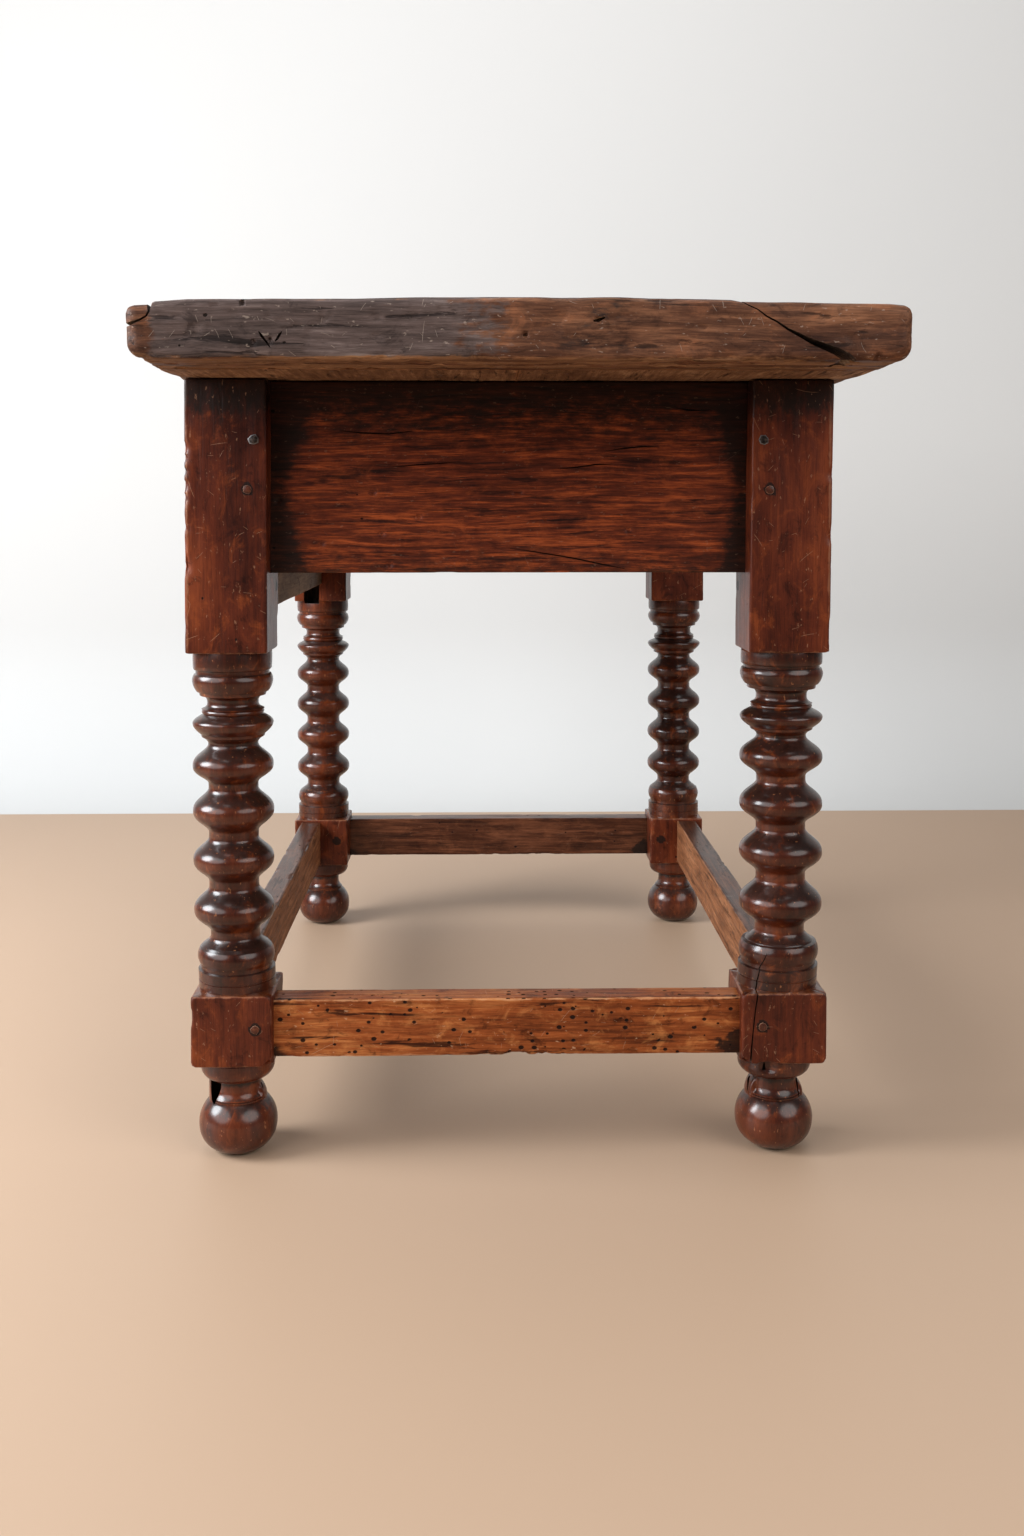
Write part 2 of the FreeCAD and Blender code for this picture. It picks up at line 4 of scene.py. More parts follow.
import bmesh
import bpy
import numpy as np
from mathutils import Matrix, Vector


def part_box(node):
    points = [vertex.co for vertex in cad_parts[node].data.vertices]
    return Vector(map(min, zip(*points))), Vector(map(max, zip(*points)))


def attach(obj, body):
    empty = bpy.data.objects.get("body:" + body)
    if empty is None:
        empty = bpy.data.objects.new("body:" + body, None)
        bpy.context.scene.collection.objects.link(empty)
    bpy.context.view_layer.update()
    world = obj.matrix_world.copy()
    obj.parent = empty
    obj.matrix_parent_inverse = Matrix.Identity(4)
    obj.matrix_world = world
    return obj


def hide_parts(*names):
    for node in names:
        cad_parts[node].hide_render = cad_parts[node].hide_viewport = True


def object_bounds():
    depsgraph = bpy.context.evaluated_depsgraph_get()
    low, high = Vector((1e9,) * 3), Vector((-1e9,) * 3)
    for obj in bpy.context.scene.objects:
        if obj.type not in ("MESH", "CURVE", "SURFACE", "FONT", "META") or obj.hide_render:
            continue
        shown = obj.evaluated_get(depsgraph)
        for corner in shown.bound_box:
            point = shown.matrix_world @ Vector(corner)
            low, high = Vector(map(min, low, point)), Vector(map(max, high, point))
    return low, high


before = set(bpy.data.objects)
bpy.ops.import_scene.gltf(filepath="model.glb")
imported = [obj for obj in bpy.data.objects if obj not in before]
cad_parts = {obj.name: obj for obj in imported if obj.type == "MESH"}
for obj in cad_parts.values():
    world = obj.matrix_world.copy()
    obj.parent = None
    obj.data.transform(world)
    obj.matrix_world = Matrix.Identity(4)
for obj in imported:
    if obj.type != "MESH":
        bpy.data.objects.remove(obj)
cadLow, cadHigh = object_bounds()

# An old joined table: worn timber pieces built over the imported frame, all in metres.
# Front (-X) is the drawer side, near (-Y) is the end that faces the camera.
mm = 0.001
axisOf = {"x": 0, "y": 1, "z": 2}


# Steady noise, the same on every run
def lattice(cells, seed):
    steps = np.array([73856093, 19349663, 83492791], np.int64)
    n = (cells.astype(np.int64) @ steps + seed * 7919) & 0xffffffff
    n = ((n ^ (n >> 15)) * 2246822519) & 0xffffffff
    n = ((n ^ (n >> 13)) * 3266489917) & 0xffffffff
    return (n ^ (n >> 16)) / 0xffffffff


def smoothNoise(points, seed=0):  # from -1 to 1
    base = np.floor(points)
    part = points - base
    part = part * part * (3 - 2 * part)
    total = np.zeros(len(points))
    for corner in itertools.product((0, 1), repeat=3):
        weight = np.prod(np.where(corner, part, 1 - part), axis=1)
        total += weight * lattice(base + corner, seed)
    return total * 2 - 1


def layeredNoise(points, layers, seed=0):
    total = np.zeros(len(points))
    for layer in range(layers):
        total += smoothNoise(points * 2 ** layer, seed + layer) / 2 ** layer
    return total


def ease(low, high, values):  # smooth step, also downwards when low is above high
    share = np.clip((values - low) / (high - low), 0, 1)
    return share * share * (3 - 2 * share)


# Mesh helpers
def spaced(low, high, step, rim, rimSteps=4):  # finer over the rounded rims
    rim = min(rim, (high - low) * 0.4)
    inner = max(2, round((high - low - 2 * rim) / step))
    edge = np.linspace(0, rim, rimSteps + 1)[:-1]
    return np.concatenate([low + edge, np.linspace(low + rim, high - rim, inner + 1), high - edge[::-1]])


def boxSurface(samples):  # closed grid over a box, from its sample places on each axis
    shape = [len(s) for s in samples]
    index = np.indices(shape)
    skin = np.zeros(shape, bool)
    for axis in range(3):
        skin |= (index[axis] == 0) | (index[axis] == shape[axis] - 1)
    ids = np.full(shape, -1)
    ids[skin] = np.arange(skin.sum())
    points = np.stack([samples[axis][index[axis][skin]] for axis in range(3)], 1)
    quads = []
    for axis in range(3):
        for side in (0, -1):
            plane = np.take(ids, side, axis)
            quad = np.stack([plane[:-1, :-1], plane[1:, :-1], plane[1:, 1:], plane[:-1, 1:]], -1)
            outwards = (side == -1) != (axis == 1)
            quads.append((quad if outwards else quad[..., ::-1]).reshape(-1, 4))
    return points, np.concatenate(quads)


def normalsOf(points, quads):
    a, b, c, d = (points[quads[:, i]] for i in range(4))
    face = np.cross(c - a, d - b)
    total = np.zeros_like(points)
    for axis in range(3):
        for corner in range(4):
            total[:, axis] += np.bincount(quads[:, corner], face[:, axis], len(points))
    return total / np.maximum(np.linalg.norm(total, axis=1, keepdims=True), 1e-12)


def newMesh(name, points, faces):
    mesh = bpy.data.meshes.new(name)
    mesh.from_pydata(points.tolist(), [], [list(f) for f in faces])
    mesh.update()
    return mesh


def newObject(name, mesh):
    made = bpy.data.objects.new(name, mesh)
    bpy.context.scene.collection.objects.link(made)
    return made


def newPiece(node, points, faces):
    return newObject(node + "_worn", newMesh(node + "_worn", points, faces))


def placesOf(mesh):
    flat = np.zeros(len(mesh.vertices) * 3)
    mesh.vertices.foreach_get("co", flat)
    return flat.reshape(-1, 3)


def facingOf(mesh):
    flat = np.zeros(len(mesh.vertices) * 3, np.float32)
    mesh.vertex_normals.foreach_get("vector", flat)
    return flat.reshape(-1, 3).astype(float)


def volumeOf(mesh):
    work = bmesh.new()
    work.from_mesh(mesh)
    found = work.calc_volume()
    work.free()
    return found


leastKept = 0.93  # share of a piece that a sound cut leaves


def cutAway(piece, cutters):  # real cracks, notches and pockets
    for number, cutter in enumerate(cutters):
        tool = newObject("cutter", cutter)
        for careful in (False, True):  # the careful way is slow, for what fails at first
            step = piece.modifiers.new("cut", "BOOLEAN")
            step.operation, step.solver, step.material_mode = "DIFFERENCE", "EXACT", "TRANSFER"
            step.use_self = step.use_hole_tolerant = careful
            step.object = tool
            graph = bpy.context.evaluated_depsgraph_get()
            cut = bpy.data.meshes.new_from_object(piece.evaluated_get(graph))
            piece.modifiers.clear()
            kept = volumeOf(cut) / volumeOf(piece.data)
            if leastKept < kept < 1:
                piece.data = cut
                break
        else:
            print("cut", number, "left out of", piece.name, round(kept, 4))
        bpy.data.objects.remove(tool)


def prism(outline, push, finish=None):  # closed block from an outline of points, pushed along a vector
    start = [Vector(p) for p in outline]
    count = len(start)
    points = np.array([tuple(p) for p in start] + [tuple(p + Vector(push)) for p in start])
    faces = [list(range(count))[::-1], list(range(count, 2 * count))]
    faces += [[i, (i + 1) % count, (i + 1) % count + count, i + count] for i in range(count)]
    mesh = newMesh("prism", points, faces)
    work = bmesh.new()
    work.from_mesh(mesh)
    bmesh.ops.recalc_face_normals(work, faces=work.faces)
    work.to_mesh(mesh)
    work.free()
    if finish:
        mesh.materials.append(finish)
    return mesh


def looseParts(node):  # boxes of the separate solids in a node
    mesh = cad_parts[node].data
    places = placesOf(mesh)
    keys = {}
    join = [keys.setdefault(tuple(np.round(p, 6)), len(keys)) for p in places]
    root = list(range(len(keys)))

    def find(i):
        while root[i] != i:
            root[i] = root[root[i]]
            i = root[i]
        return i

    for face in mesh.polygons:
        first = find(join[face.vertices[0]])
        for corner in face.vertices[1:]:
            root[find(join[corner])] = first
    groups = {}
    for vertex, place in enumerate(places):
        groups.setdefault(find(join[vertex]), []).append(place)
    boxes = [(np.min(g, axis=0), np.max(g, axis=0)) for g in groups.values()]
    return sorted(boxes, key=lambda box: tuple(box[0]))


# Every piece carries its grain direction, its signs of age and its painted shade as attributes for the finishes
def addLook(mesh, name, values):
    kind = "FLOAT_VECTOR" if values.ndim == 2 else "FLOAT"
    made = mesh.attributes.new(name, kind, "POINT")
    made.data.foreach_set("vector" if values.ndim == 2 else "value", values.astype(np.float32).ravel())


seedShift = np.array([0.37, 0.053, 0.031])  # how far every seed moves the grain


def dress(piece, finish, body, node, grain, seed, looks, sharp=38):
    mesh = piece.data
    places = placesOf(mesh)
    order = {"x": [0, 1, 2], "y": [1, 0, 2], "z": [2, 1, 0]}[grain]
    offset = seedShift * seed % 3
    addLook(mesh, "grainAt", places[:, order] + offset)
    facing = facingOf(mesh)
    along, aside, across = (places[:, i] for i in order)
    tilt = np.abs(facing[:, order])
    onSide = tilt[:, 1] >= tilt[:, 2]
    onEnd = tilt[:, 0] > np.maximum(tilt[:, 1], tilt[:, 2])
    flatAlong, flatAcross = np.where(onEnd, aside, along), np.where(onSide | onEnd, across, aside)
    flat = np.stack([flatAlong, flatAcross, 0 * along], 1)
    addLook(mesh, "faceAt", flat + offset)
    found = {"edge": None, "soil": None, "raw": None, "grey": None}
    found.update(looks(places, facing))
    for name, values in found.items():
        addLook(mesh, name, np.zeros(len(places)) if values is None else np.clip(values, 0, 1))
    if not len(mesh.materials):
        mesh.materials.append(finish)
    elif mesh.materials[0] is None:
        mesh.materials[0] = finish
    mesh.shade_smooth()
    mesh.set_sharp_from_angle(angle=math.radians(sharp))
    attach(piece, body)
    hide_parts(node)
    return piece


# Shader node helpers. A socket knows the tree that it belongs to
def addNode(tree, kind, feeds=None, **settings):
    made = tree.nodes.new(kind)
    for name, value in settings.items():
        setattr(made, name, value)
    for name, value in (feeds or {}).items():
        if isinstance(value, bpy.types.NodeSocket):
            tree.links.new(value, made.inputs[name])
        else:
            made.inputs[name].default_value = value
    return made


def treeOf(*values):  # the tree of the first socket among some values
    return next(v for v in values if isinstance(v, bpy.types.NodeSocket)).id_data


def feed(sockets, values):
    for label, value in values.items():
        value.id_data.links.new(value, sockets[label])


def calc(operation, a, b=0.5, c=0.5, clamp=False):
    feeds = {0: a, 1: b, 2: c}
    return addNode(treeOf(a, b), "ShaderNodeMath", feeds, operation=operation, use_clamp=clamp).outputs[0]


def times(a, b):
    return calc("MULTIPLY", a, b)


def vectorCalc(operation, a, b=(0, 0, 0), output=0):
    return addNode(treeOf(a, b), "ShaderNodeVectorMath", {0: a, 1: b}, operation=operation).outputs[output]


def between(value, low, high):  # smooth mask, 0 at low and 1 at high
    feeds = {"Value": value, "From Min": low, "From Max": high}
    return addNode(value.id_data, "ShaderNodeMapRange", feeds, interpolation_type="SMOOTHSTEP").outputs[0]


def mixTones(share, first, second, mode="MIX"):
    feeds = {0: share, 6: first, 7: second}
    return addNode(share.id_data, "ShaderNodeMix", feeds, data_type="RGBA", blend_type=mode).outputs[2]


def toneRamp(share, places, tones):  # colours at places from 0 to 1
    made = addNode(share.id_data, "ShaderNodeValToRGB", {"Fac": share})
    stops = made.color_ramp.elements
    while len(stops) < len(tones):
        stops.new(0.5)
    for stop, place, tone in zip(stops, places, tones):
        stop.position = place
        stop.color = (*tone, 1)
    return made.outputs["Color"]


def grainNoise(place, scale, detail=3.0, rough=0.55, warp=0.0):
    feeds = {"Vector": vectorCalc("MULTIPLY", place, scale), "Scale": 1.0, "Detail": detail, "Roughness": rough,
             "Distortion": warp}
    return addNode(place.id_data, "ShaderNodeTexNoise", feeds).outputs[0]


def cellsOf(place, scale):  # flat cells, and three steady numbers for each
    tree, feeds = place.id_data, {"Vector": place, "Scale": scale}
    cells = addNode(tree, "ShaderNodeTexVoronoi", feeds, voronoi_dimensions="2D").outputs
    return cells, addNode(tree, "ShaderNodeSeparateColor", {0: cells["Color"]}).outputs


def raised(height, strength, distance):
    feeds = {"Height": height, "Strength": strength, "Distance": distance}
    return addNode(height.id_data, "ShaderNodeBump", feeds).outputs[0]


def newFinish(name):
    made = bpy.data.materials.new(name)
    made.use_nodes = True
    return made, made.node_tree, made.node_tree.nodes["Principled BSDF"].inputs


def newGroup(name, takes, gives):
    tree = bpy.data.node_groups.new(name, "ShaderNodeTree")
    for label, value in takes.items():
        kind = "NodeSocketVector" if value is None else "NodeSocketFloat"
        socket = tree.interface.new_socket(label, in_out="INPUT", socket_type=kind)
        if value is not None:
            socket.default_value = value
    for label in gives:
        tree.interface.new_socket(label, in_out="OUTPUT", socket_type="NodeSocketFloat")
    return tree, tree.nodes.new("NodeGroupInput").outputs, tree.nodes.new("NodeGroupOutput").inputs


def useGroup(group, feeds):
    return addNode(treeOf(*feeds.values()), "ShaderNodeGroup", feeds, node_tree=group).outputs


# Growth rings, streaks, fibres and patches. The place runs along the grain on X, in metres
def makeGrain():
    tree, takes, gives = newGroup("agedGrain", {"Place": None, "Ring Width": 0.006, "Streak Length": 1.0},
                                  ["Rings", "Streaks", "Fibres", "Patches", "Black", "Smudges", "Flares"])
    place = takes["Place"]
    wander = grainNoise(place, (4, 20, 20), 2).node.outputs["Color"]
    shift = vectorCalc("MULTIPLY", vectorCalc("SUBTRACT", wander, (0.5, 0.5, 0.5)), (0, 0.014, 0.014))
    bent = vectorCalc("ADD", place, shift)
    pith = vectorCalc("ADD", vectorCalc("MULTIPLY", bent, (0.03, 1, 1)), (0, 0.13, 0.05))
    turns = calc("DIVIDE", vectorCalc("LENGTH", pith, output=1), takes["Ring Width"])
    along = addNode(tree, "ShaderNodeCombineXYZ", {0: takes["Streak Length"], 1: 1.0, 2: 1.0}).outputs[0]
    fitted = vectorCalc("DIVIDE", bent, along)
    smudge = grainNoise(place, (36, 52, 52), 6, 0.7, 0.7)
    feed(gives, {
        "Rings": calc("MULTIPLY_ADD", calc("SINE", times(turns, 2 * math.pi)), 0.5, 0.5),
        "Streaks": grainNoise(fitted, (14, 250, 250), 6, 0.7), "Fibres": grainNoise(bent, (38, 1300, 1300), 3, 0.6),
        "Patches": grainNoise(place, (6, 17, 17), 4, 0.6),
        "Black": between(grainNoise(fitted, (11, 150, 150), 5, 0.6, 0.5), 0.585, 0.66),
        "Smudges": between(smudge, 0.54, 0.68), "Flares": between(smudge, 0.5, 0.28),
    })
    return tree


# Round flight holes of woodworm in loose crowds. The place lies flat on the face
def makeWormHoles():
    usual = {"Place": None, "Spacing": 0.012, "Share": 0.3, "Size": 0.0012}
    tree, takes, gives = newGroup("wormHoles", usual, ["Mask"])
    bored = vectorCalc("MULTIPLY", takes["Place"], (0.75, 1, 1))
    cells, split = cellsOf(bored, calc("DIVIDE", 1.0, takes["Spacing"]))
    crowd = between(grainNoise(takes["Place"], (16, 30, 1), 2), 0.35, 0.68)
    chosen = calc("LESS_THAN", split[0], times(takes["Share"], times(crowd, 1.8)))
    size = times(takes["Size"], calc("ADD", split[1], 0.45))
    rim = calc("DIVIDE", times(cells["Distance"], takes["Spacing"]), size)
    feed(gives, {"Mask": times(between(rim, 1.15, 0.75), chosen)})
    return tree


# Thin scratches, straight or a little bent, one to a cell. The place lies flat on the face
def makeScratches():
    tree, takes, gives = newGroup("hairScratches", {"Place": None, "Width": 0.0004, "Share": 0.4}, ["Mask"])
    total = None
    for spacing, thick in ((0.011, 0.8), (0.024, 1.0), (0.058, 1.25)):
        cells, split = cellsOf(takes["Place"], 1 / spacing)
        off = vectorCalc("SUBTRACT", takes["Place"], cells["Position"])
        feeds = {"Vector": off, "Angle": times(split[0], 2 * math.pi)}
        turned = addNode(tree, "ShaderNodeVectorRotate", feeds, rotation_type="Z_AXIS").outputs[0]
        axes = addNode(tree, "ShaderNodeSeparateXYZ", {0: turned}).outputs
        bend = times(calc("SUBTRACT", split[2], 0.5), 0.5 / spacing)
        aside = calc("ABSOLUTE", calc("ADD", axes[1], times(times(axes[0], axes[0]), bend)))
        line = between(calc("DIVIDE", aside, times(takes["Width"], thick)), 1.0, 0.45)
        reach = times(calc("ADD", split[2], 0.25), spacing * 0.42)
        ends = between(calc("DIVIDE", calc("ABSOLUTE", axes[0]), reach), 1.0, 0.55)
        line = times(times(line, ends), calc("LESS_THAN", split[1], takes["Share"]))
        total = line if total is None else calc("MAXIMUM", total, line)
    feed(gives, {"Mask": total})
    return tree


# Ragged mask from a soft one, for rubbed edges, and for dirt and painted shade
def makeRagged():
    tree, takes, gives = newGroup("raggedMask", {"Place": None, "Soft": 0.0, "Start": 0.45, "Break": 0.5}, ["Mask"])
    fine = grainNoise(takes["Place"], (60, 160, 160), 4, 0.65)
    swing = times(calc("SUBTRACT", fine, 0.5), takes["Break"])
    level = calc("ADD", takes["Soft"], times(swing, 2.0))
    feed(gives, {"Mask": between(level, takes["Start"], calc("ADD", takes["Start"], 0.3))})
    return tree


grainGroup = makeGrain()
wormGroup = makeWormHoles()
scratchGroup = makeScratches()
raggedGroup = makeRagged()
print("shared effects ready")


def agedWood(look):
    made, tree, shader = newFinish(look["name"])
    made["slot"] = look["slot"]

    def attribute(name, output="Fac"):
        return addNode(tree, "ShaderNodeAttribute", attribute_name=name).outputs[output]

    def ragged(name, start, breaking):
        feeds = {"Place": place, "Soft": attribute(name), "Start": start, "Break": breaking}
        return useGroup(raggedGroup, feeds)["Mask"]

    place, flat = attribute("grainAt", "Vector"), attribute("faceAt", "Vector")
    feeds = {"Place": place, "Ring Width": look["ringWidth"], "Streak Length": look["streakLength"]}
    grain = useGroup(grainGroup, feeds)
    # this mask lays a near black tone over dirt and over painted shade under the top, in corners and in grooves
    rub, dirtAndShade = ragged("edge", look["rubStart"], 0.5), ragged("soil", 0.25, 0.35)
    bare, faded = ragged("raw", 0.35, 0.3), ragged("grey", 0.3, 0.55)
    feeds = {"Place": flat, "Spacing": look["wormSpacing"], "Share": look["wormShare"], "Size": look["wormSize"]}
    holes = useGroup(wormGroup, feeds)["Mask"]
    feeds = {"Place": flat, "Width": look["scratchWidth"], "Share": look["scratchCount"]}
    scratch = useGroup(scratchGroup, feeds)["Mask"]
    fleck = between(grainNoise(place, (150, 330, 330), 2, 0.6), 0.66, 0.74)
    fibres = between(grain["Fibres"], 0.5, 0.36)

    share = look["streakShare"]
    mixed = calc("ADD", times(grain["Streaks"], share), times(grain["Patches"], 1 - share))
    tone = toneRamp(mixed, (0.36, 0.5, 0.63), (look["dark"], look["middle"], look["light"]))
    bareTone = toneRamp(mixed, (0.36, 0.52, 0.64), (look["rawDark"], look["rawMiddle"], look["rawLight"]))
    greyTone = toneRamp(mixed, (0.36, 0.52, 0.66), (look["greyDark"], look["greyMiddle"], look["greyLight"]))
    tone = mixTones(times(grain["Flares"], look["flareShare"]), tone, (*look["flare"], 1))
    tone = mixTones(faded, tone, greyTone)
    tone = mixTones(bare, tone, bareTone)
    darker, over = "MULTIPLY", "MIX"
    for mask, share, colour, mode in (
        (grain["Rings"], look["ringDark"], (0.35, 0.3, 0.28), darker),
        (grain["Black"], look["black"], (0.16, 0.15, 0.16), darker),
        (grain["Smudges"], look["smudge"], (0.3, 0.27, 0.27), darker),
        (fibres, look["fibreDark"], (0.3, 0.27, 0.25), darker),
        (rub, look["rubShare"], look["rub"], over),
        (dirtAndShade, look["dirtAndShadeShare"], look["dirtAndShade"], over),
        (scratch, look["scratchShare"], look["scratch"], over),
        (fleck, look["fleckShare"], look["scratch"], over),
        (holes, 0.94, look["hole"], over),
    ):
        tone = mixTones(times(mask, share), tone, (*colour, 1), mode)

    rough = calc("MULTIPLY_ADD", calc("SUBTRACT", grain["Patches"], 0.5), look["roughSwing"], look["rough"])
    for mask, change in ((bare, 0.3), (dirtAndShade, look["dirtAndShadeRough"]), (grain["Black"], 0.06), (holes, 0.5),
                         (faded, look["greyRough"])):
        rough = calc("ADD", rough, times(mask, change), clamp=True)
    matte = calc("MAXIMUM", holes, times(faded, look["greyMatte"]))
    wax = calc("SUBTRACT", 1.0, calc("MAXIMUM", bare, matte), clamp=True)
    height = times(grain["Streaks"], 0.45)
    for mask, change in ((grain["Fibres"], 0.3), (grain["Black"], -0.3), (holes, -1.2), (scratch, -0.35),
                         (rub, -0.12), (grain["Rings"], 0.08)):
        height = calc("ADD", height, times(mask, change))
    feed(shader, {"Base Color": tone, "Roughness": rough, "Coat Weight": times(wax, look["wax"]),
                  "Normal": raised(height, look["relief"], 0.7 * mm)})
    shader["Coat Roughness"].default_value = look["waxRough"]
    shader["Specular IOR Level"].default_value = look["shine"]
    return made


# The finishes. All colours are linear
plainLook = {
    "slot": "frame_wood", "ringWidth": 0.007, "streakLength": 1.0, "streakShare": 0.62,
    "dark": (0.022, 0.0055, 0.003), "middle": (0.085, 0.0175, 0.0068), "light": (0.23, 0.05, 0.0135),
    "rawDark": (0.1, 0.065, 0.042), "rawMiddle": (0.2, 0.135, 0.09), "rawLight": (0.33, 0.235, 0.16),
    "greyDark": (0.026, 0.017, 0.014), "greyMiddle": (0.07, 0.05, 0.043), "greyLight": (0.17, 0.138, 0.125),
    "rub": (0.19, 0.06, 0.022), "rubStart": 0.62, "rubShare": 0.6,
    "flare": (0.2, 0.055, 0.016), "flareShare": 0.0, "smudge": 0.25,
    # near black tone, for dirt and for painted shade
    "dirtAndShade": (0.008, 0.0045, 0.0035), "dirtAndShadeShare": 0.9, "dirtAndShadeRough": 0.1, "greyRough": 0.18, "greyMatte": 1.0,
    "scratch": (0.32, 0.2, 0.13), "scratchShare": 0.12, "scratchWidth": 0.0002, "scratchCount": 0.15,
    "hole": (0.006, 0.004, 0.003),
    "fleckShare": 0.15, "wormSpacing": 0.03, "wormShare": 0.08, "wormSize": 0.0011,
    "ringDark": 0.25, "black": 0.85, "fibreDark": 0.45,
    "rough": 0.44, "roughSwing": 0.3, "wax": 0.15, "waxRough": 0.2, "shine": 0.22, "relief": 0.5,
}
turnedWood = agedWood({
    **plainLook, "name": "waxedTurning", "slot": "turned_wood", "streakShare": 0.25,
    "dark": (0.017, 0.0036, 0.0018), "middle": (0.05, 0.0092, 0.0032), "light": (0.115, 0.023, 0.0066),
    "flare": (0.21, 0.047, 0.0115), "flareShare": 0.7, "smudge": 0.6,
    "greyDark": (0.013, 0.0048, 0.0034), "greyMiddle": (0.027, 0.0102, 0.0074),
    "greyLight": (0.052, 0.0215, 0.0158),
    "greyRough": 0.0, "greyMatte": 0.0,
    "rub": (0.15, 0.04, 0.012), "rubShare": 0.35, "black": 0.15, "ringDark": 0.05, "fibreDark": 0.25,
    "fleckShare": 0.45,
    "scratch": (0.42, 0.16, 0.065), "scratchCount": 0.0, "wormShare": 0.0,
    "rough": 0.36, "wax": 0.7, "shine": 0.08, "relief": 0.14,
})
blockWood = agedWood({
    **plainLook, "name": "waxedBlock", "slot": "turned_wood", "streakShare": 0.3,
    "dark": (0.034, 0.0066, 0.0034), "middle": (0.088, 0.0162, 0.0062), "light": (0.17, 0.035, 0.0105),
    "flare": (0.25, 0.055, 0.0135), "flareShare": 0.6, "smudge": 0.75,
    "rub": (0.27, 0.115, 0.06), "black": 0.3, "ringDark": 0.1, "fibreDark": 0.35, "fleckShare": 0.35,
    "scratch": (0.4, 0.21, 0.12), "scratchShare": 0.5, "scratchWidth": 0.00022,
    "rough": 0.42, "wax": 0.12, "waxRough": 0.18, "shine": 0.14, "relief": 0.4,
})
apronWood = agedWood({
    **plainLook, "name": "streakedApron", "streakLength": 0.85, "streakShare": 0.68, "smudge": 0.5,
    "middle": (0.118, 0.022, 0.0077), "light": (0.37, 0.076, 0.0185),
    "flare": (0.34, 0.073, 0.0185), "flareShare": 0.4,
    "fibreDark": 0.75, "shine": 0.12, "wax": 0.06, "relief": 0.9, "scratchCount": 0.06,
})
stretcherWood = agedWood({
    **plainLook, "name": "wornStretcher", "slot": "stretcher_wood", "streakShare": 0.5,
    "dark": (0.08, 0.0175, 0.005), "middle": (0.27, 0.066, 0.0165), "light": (0.5, 0.18, 0.054),
    "flare": (0.56, 0.215, 0.066), "flareShare": 0.6, "smudge": 0.85,
    "rub": (0.56, 0.27, 0.13), "rubShare": 0.75, "rubStart": 0.48, "black": 0.97,
    "wormSpacing": 0.0095, "wormShare": 0.45, "wormSize": 0.0014, "fleckShare": 0.5,
    "scratch": (0.55, 0.34, 0.2), "scratchShare": 0.4,
    "rough": 0.46, "wax": 0.05, "shine": 0.1, "relief": 0.8,
})
sideWood = agedWood({
    **plainLook, "name": "dustyStretcher", "slot": "stretcher_wood",
    "dark": (0.023, 0.0068, 0.0033), "middle": (0.06, 0.018, 0.008), "light": (0.14, 0.047, 0.021),
    "flare": (0.2, 0.07, 0.03), "flareShare": 0.35, "smudge": 0.55, "wormSpacing": 0.014, "wormShare": 0.15,
    "rub": (0.26, 0.12, 0.065), "black": 0.6, "rough": 0.36, "wax": 0.3, "waxRough": 0.17, "shine": 0.1,
    "rawDark": (0.12, 0.042, 0.017), "rawMiddle": (0.28, 0.113, 0.05), "rawLight": (0.43, 0.2, 0.098),
})
topWood = agedWood({
    **plainLook, "name": "weatheredTop", "slot": "top_wood", "streakLength": 0.8, "streakShare": 0.5,
    "dark": (0.034, 0.012, 0.007), "middle": (0.1, 0.04, 0.0208), "light": (0.26, 0.115, 0.059),
    "flare": (0.36, 0.135, 0.059), "flareShare": 0.4, "smudge": 0.65,
    "rawDark": (0.11, 0.052, 0.026), "rawMiddle": (0.25, 0.13, 0.068), "rawLight": (0.42, 0.25, 0.14),
    "rub": (0.3, 0.14, 0.065), "rubShare": 0.7,
    "scratchShare": 0.42, "scratchWidth": 0.00024, "scratchCount": 0.17,
    "greyDark": (0.038, 0.0255, 0.0222), "greyMiddle": (0.112, 0.079, 0.0715), "greyLight": (0.27, 0.216, 0.2),
    "fleckShare": 0.3, "wormSpacing": 0.016, "wormShare": 0.12, "rough": 0.58, "wax": 0.03, "relief": 0.95,
    "shine": 0.14, "scratch": (0.5, 0.4, 0.33),
})
rawWood = agedWood({
    **plainLook, "name": "unfinishedWood", "slot": "raw_wood",
    "dark": (0.1, 0.062, 0.036), "middle": (0.19, 0.125, 0.076), "light": (0.29, 0.205, 0.135),
    "rub": (0.34, 0.25, 0.17), "rubShare": 0.4, "black": 0.25, "rough": 0.72, "wax": 0.0,
})
pegWood = agedWood({
    **plainLook, "name": "whittledPeg", "slot": "peg_wood",
    "dark": (0.025, 0.007, 0.004), "middle": (0.075, 0.018, 0.008), "light": (0.15, 0.04, 0.015),
    "rub": (0.3, 0.16, 0.1), "rubShare": 0.8, "rough": 0.38, "wax": 0.3,
})
splitWood = agedWood({
    **plainLook, "name": "splitInside", "slot": "top_wood",
    "dark": (0.012, 0.007, 0.005), "middle": (0.03, 0.016, 0.01), "light": (0.08, 0.045, 0.026),
    "rough": 0.85, "wax": 0.0, "shine": 0.15, "relief": 1.0,
})


